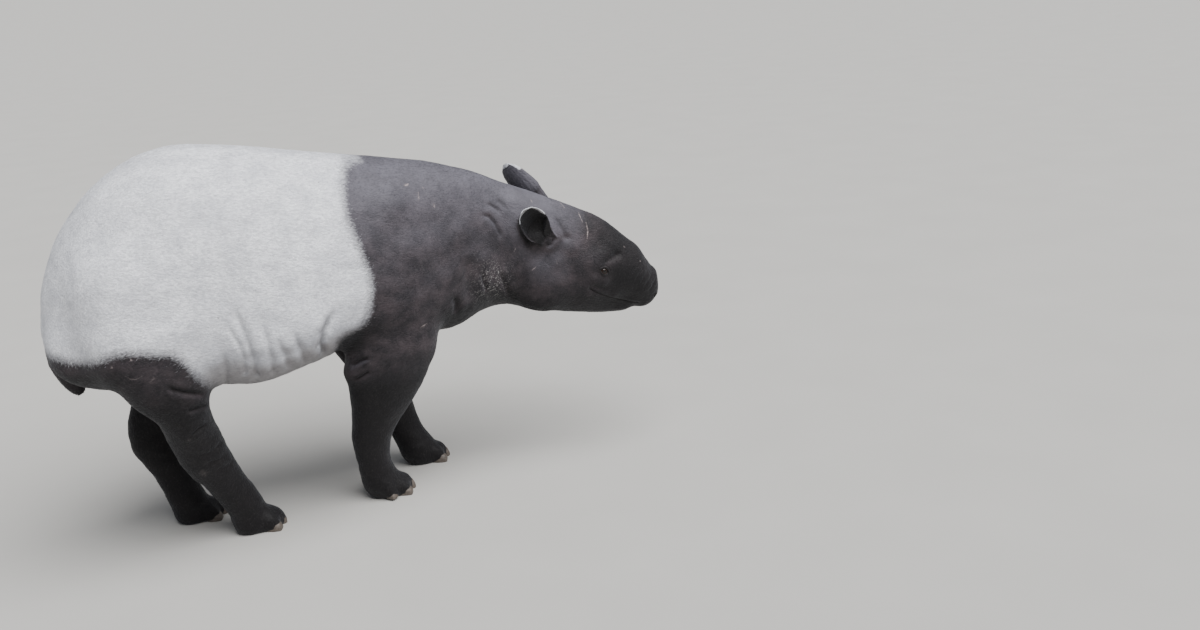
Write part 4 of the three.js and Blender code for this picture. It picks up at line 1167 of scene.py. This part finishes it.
def tufts(name, roots, normals, ways, sizes, fields, unwrap):
    """Flat tufts as one mesh: two root corners, a raised ridge and a tip each, closed."""
    ways = ways - (ways * normals).sum(1)[:, None] * normals
    ways /= np.maximum(np.linalg.norm(ways, axis=1), 1e-6)[:, None]
    side = np.cross(normals, ways)
    swing = draw.normal(0, 0.16, len(roots))[:, None]
    ways, side = ways * np.cos(swing) + side * np.sin(swing), side * np.cos(swing) - ways * np.sin(swing)
    length, width, lift = sizes[:, :, None]
    base = roots - normals * ROOT_DEPTH
    corners = np.stack([
        base - side * width / 2,
        base + side * width / 2,
        roots + ways * length * 0.45 + normals * (lift * 0.4 + 0.08),
        roots + ways * length + normals * lift,
    ], 1).reshape(-1, 3)
    faces = (np.arange(len(roots))[:, None, None] * 4 + TUFT_FACES).reshape(-1, 3)
    mesh = mesh_of(name, placed(corners), faces)
    for key, values in fields.items():
        keep(mesh, key, np.repeat(values, 4))
    roots = np.repeat(roots, 4, axis=0)
    keep(mesh, "grain", hair_grain(roots), "FLOAT_VECTOR")
    keep(mesh, "place", roots, "FLOAT_VECTOR")
    flat = (unwrap[:, None] + PATCH).reshape(-1, 2)[faces.ravel()]
    mesh.uv_layers.new(name="OFBake").data.foreach_set("uv", flat.astype(np.float32).ravel())
    show(name, rounded(mesh, False), HIDE)


def grow_coat(mesh):
    roots, normals, fields = place_tufts(mesh, TUFTS)
    free = (fields["bare"] < 0.4) & (roots[:, 2] > LOWEST_TUFT)
    roots, normals = roots[free], normals[free]
    fields = {name: values[free] for name, values in fields.items()}
    n = len(roots)
    fields["white"] = fields["white"] + draw.normal(0, 6, n)
    region = coat_region(roots)
    unwrap = unwrap_place(region, roots)
    face = rise(roots[:, 0], 950, 200)
    leg = leg_share(roots)
    length = (8.5 - 4.3 * face - 2.5 * leg) * draw.uniform(0.7, 1.25, n)
    width = (1.5 - 0.6 * face - 0.3 * leg) * draw.uniform(0.8, 1.2, n)
    lift = (0.6 - 0.32 * face - 0.2 * leg) * draw.uniform(0.4, 1.6, n)
    for name in EARS:
        ear = rise(ear_place(name, roots)[0], 0.1, 0.1)
        ear = ear * (np.linalg.norm(roots - ear_axes(name)[0], axis=1) < EAR_REACH)
        length = length * (1 - 0.35 * ear - 0.35 * ear * (fields["white"] > 0))
        lift = lift * (1 - 0.7 * ear)
    sizes = np.stack([length, width, lift])
    ways = lie_of_hair(roots)
    for piece, (name, slot) in enumerate(COAT):
        on = np.flatnonzero(region == piece)[:MOST_TUFTS_A_PIECE]
        markings = {key: values[on] for key, values in fields.items()}
        tufts(name, roots[on], normals[on], ways[on], sizes[:, on], markings, unwrap[on])


# Eyes and hooves

CORNEA_GAP = 0.1  # between the cornea and the sphere that the lids are laid on
CORNEA_HEIGHT = 0.9  # how far it stands out of the eyeball
CORNEA_EDGE = (5, 5)  # where its top ends, and over how far it goes down
PUPIL = (0.8, 1.2)  # it is wider than high
BEHIND = 20  # the reading behind the iris
HOOF_GRAIN = 0.0016  # in metres, as is the next
HOOF_SOLE = 0.0001  # how far the hooves stay above the floor


def eyeball(side, name):
    """One eyeball with its cornea, and how far each point is from the middle of the pupil."""
    out, along, up = eye_axes(side)
    work = bmesh.new()
    bmesh.ops.create_uvsphere(work, u_segments=48, v_segments=32, radius=1)
    mesh = finished(work, name)
    local = points_of(mesh)
    front = local[:, 2] > 0
    away = np.hypot(local[:, 0], local[:, 1]) * EYE_RADIUS
    radius = EYE_RADIUS - CORNEA_GAP - CORNEA_HEIGHT * np.where(front, rise(away, *CORNEA_EDGE), 1)
    axes = np.stack([along, up, out])
    set_points(mesh, placed(mirrored(EYE, side) + (local * radius[:, None]) @ axes))
    if np.linalg.det(axes) < 0:
        mesh.flip_normals()
    keep(mesh, "iris", np.where(front, np.hypot(*(local[:, :2] * PUPIL).T) * EYE_RADIUS, BEHIND))
    return rounded(mesh)


def hooves_of(leg):
    """One foot's hooves: each CAD hoof with its corners eased, and how far each point is from its root."""
    work = bmesh.new()
    names = sorted(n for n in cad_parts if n.startswith(leg + "_hoof"))
    growth = []
    for name in names:
        hoof = remeshed(node_mesh(name), HOOF_GRAIN)
        points = evened(points_of(hoof), edges_of(hoof), 5, 0.5)
        points[:, 2] = np.maximum(points[:, 2], HOOF_SOLE)
        set_points(hoof, points)
        flat = points[:, :2] - points[:, :2].mean(0)
        distance = flat @ np.linalg.svd(flat.T @ flat)[0][:, 0]
        low = points[:, 2] < points[:, 2].mean() * 0.5
        if distance[low].mean() < distance[~low].mean():
            distance = -distance
        growth.append(distance / MM)
        work.from_mesh(hoof)
    mesh = finished(work, leg + "_hooves")
    keep(mesh, "growth", np.concatenate(growth))
    return rounded(mesh), names


# Building


def build_tapir():
    skin = with_ears(skin_form())
    tree = tree_of(skin, placed(points_of(skin)))
    detailed(skin, tree)
    store_markings(skin, tree)
    grow_coat(skin)
    set_points(skin, placed(points_of(skin)))
    show("skin", rounded(skin), HIDE, FLESH + EARS)
    eye = wet_eye()
    for side, word in ((-1, "right"), (1, "left")):
        show("eyeball_" + word, eyeball(side, "eyeball_" + word), eye, ["eye_" + word])
    horn = worn_horn()
    for leg in LEGS:
        mesh, names = hooves_of(leg)
        show(leg + "_hooves", mesh, horn, names)


FLOOR_HALF = 300  # in metres
SKY = ("#dfe5ee", 0.36)  # the light from all round: its colour and strength
OVERHEAD_FROM = (0.22, -0.42, 0.88)  # a wide soft source above the animal's near side
OVERHEAD_SPREAD = math.radians(60)
OVERHEAD_STRENGTH = 6.6


def build_studio():
    work = bmesh.new()
    bmesh.ops.create_grid(work, x_segments=1, y_segments=1, size=FLOOR_HALF)
    floor = bpy.data.objects.new("floor", finished(work, "floor"))
    floor.data.materials.append(studio_floor())
    world = bpy.data.worlds.new("studio")
    world.use_nodes = True
    background = world.node_tree.nodes["Background"]
    background.inputs["Color"].default_value = colour(SKY[0])
    background.inputs["Strength"].default_value = SKY[1]
    bpy.context.scene.world = world
    overhead = bpy.data.lights.new("overhead", "SUN")
    overhead.energy = OVERHEAD_STRENGTH
    overhead.angle = OVERHEAD_SPREAD
    light = bpy.data.objects.new("overhead", overhead)
    light.rotation_euler = Vector(OVERHEAD_FROM).to_track_quat("Z", "Y").to_euler()
    for thing in (floor, light):
        bpy.context.scene.collection.objects.link(thing)


build_tapir()
build_studio()
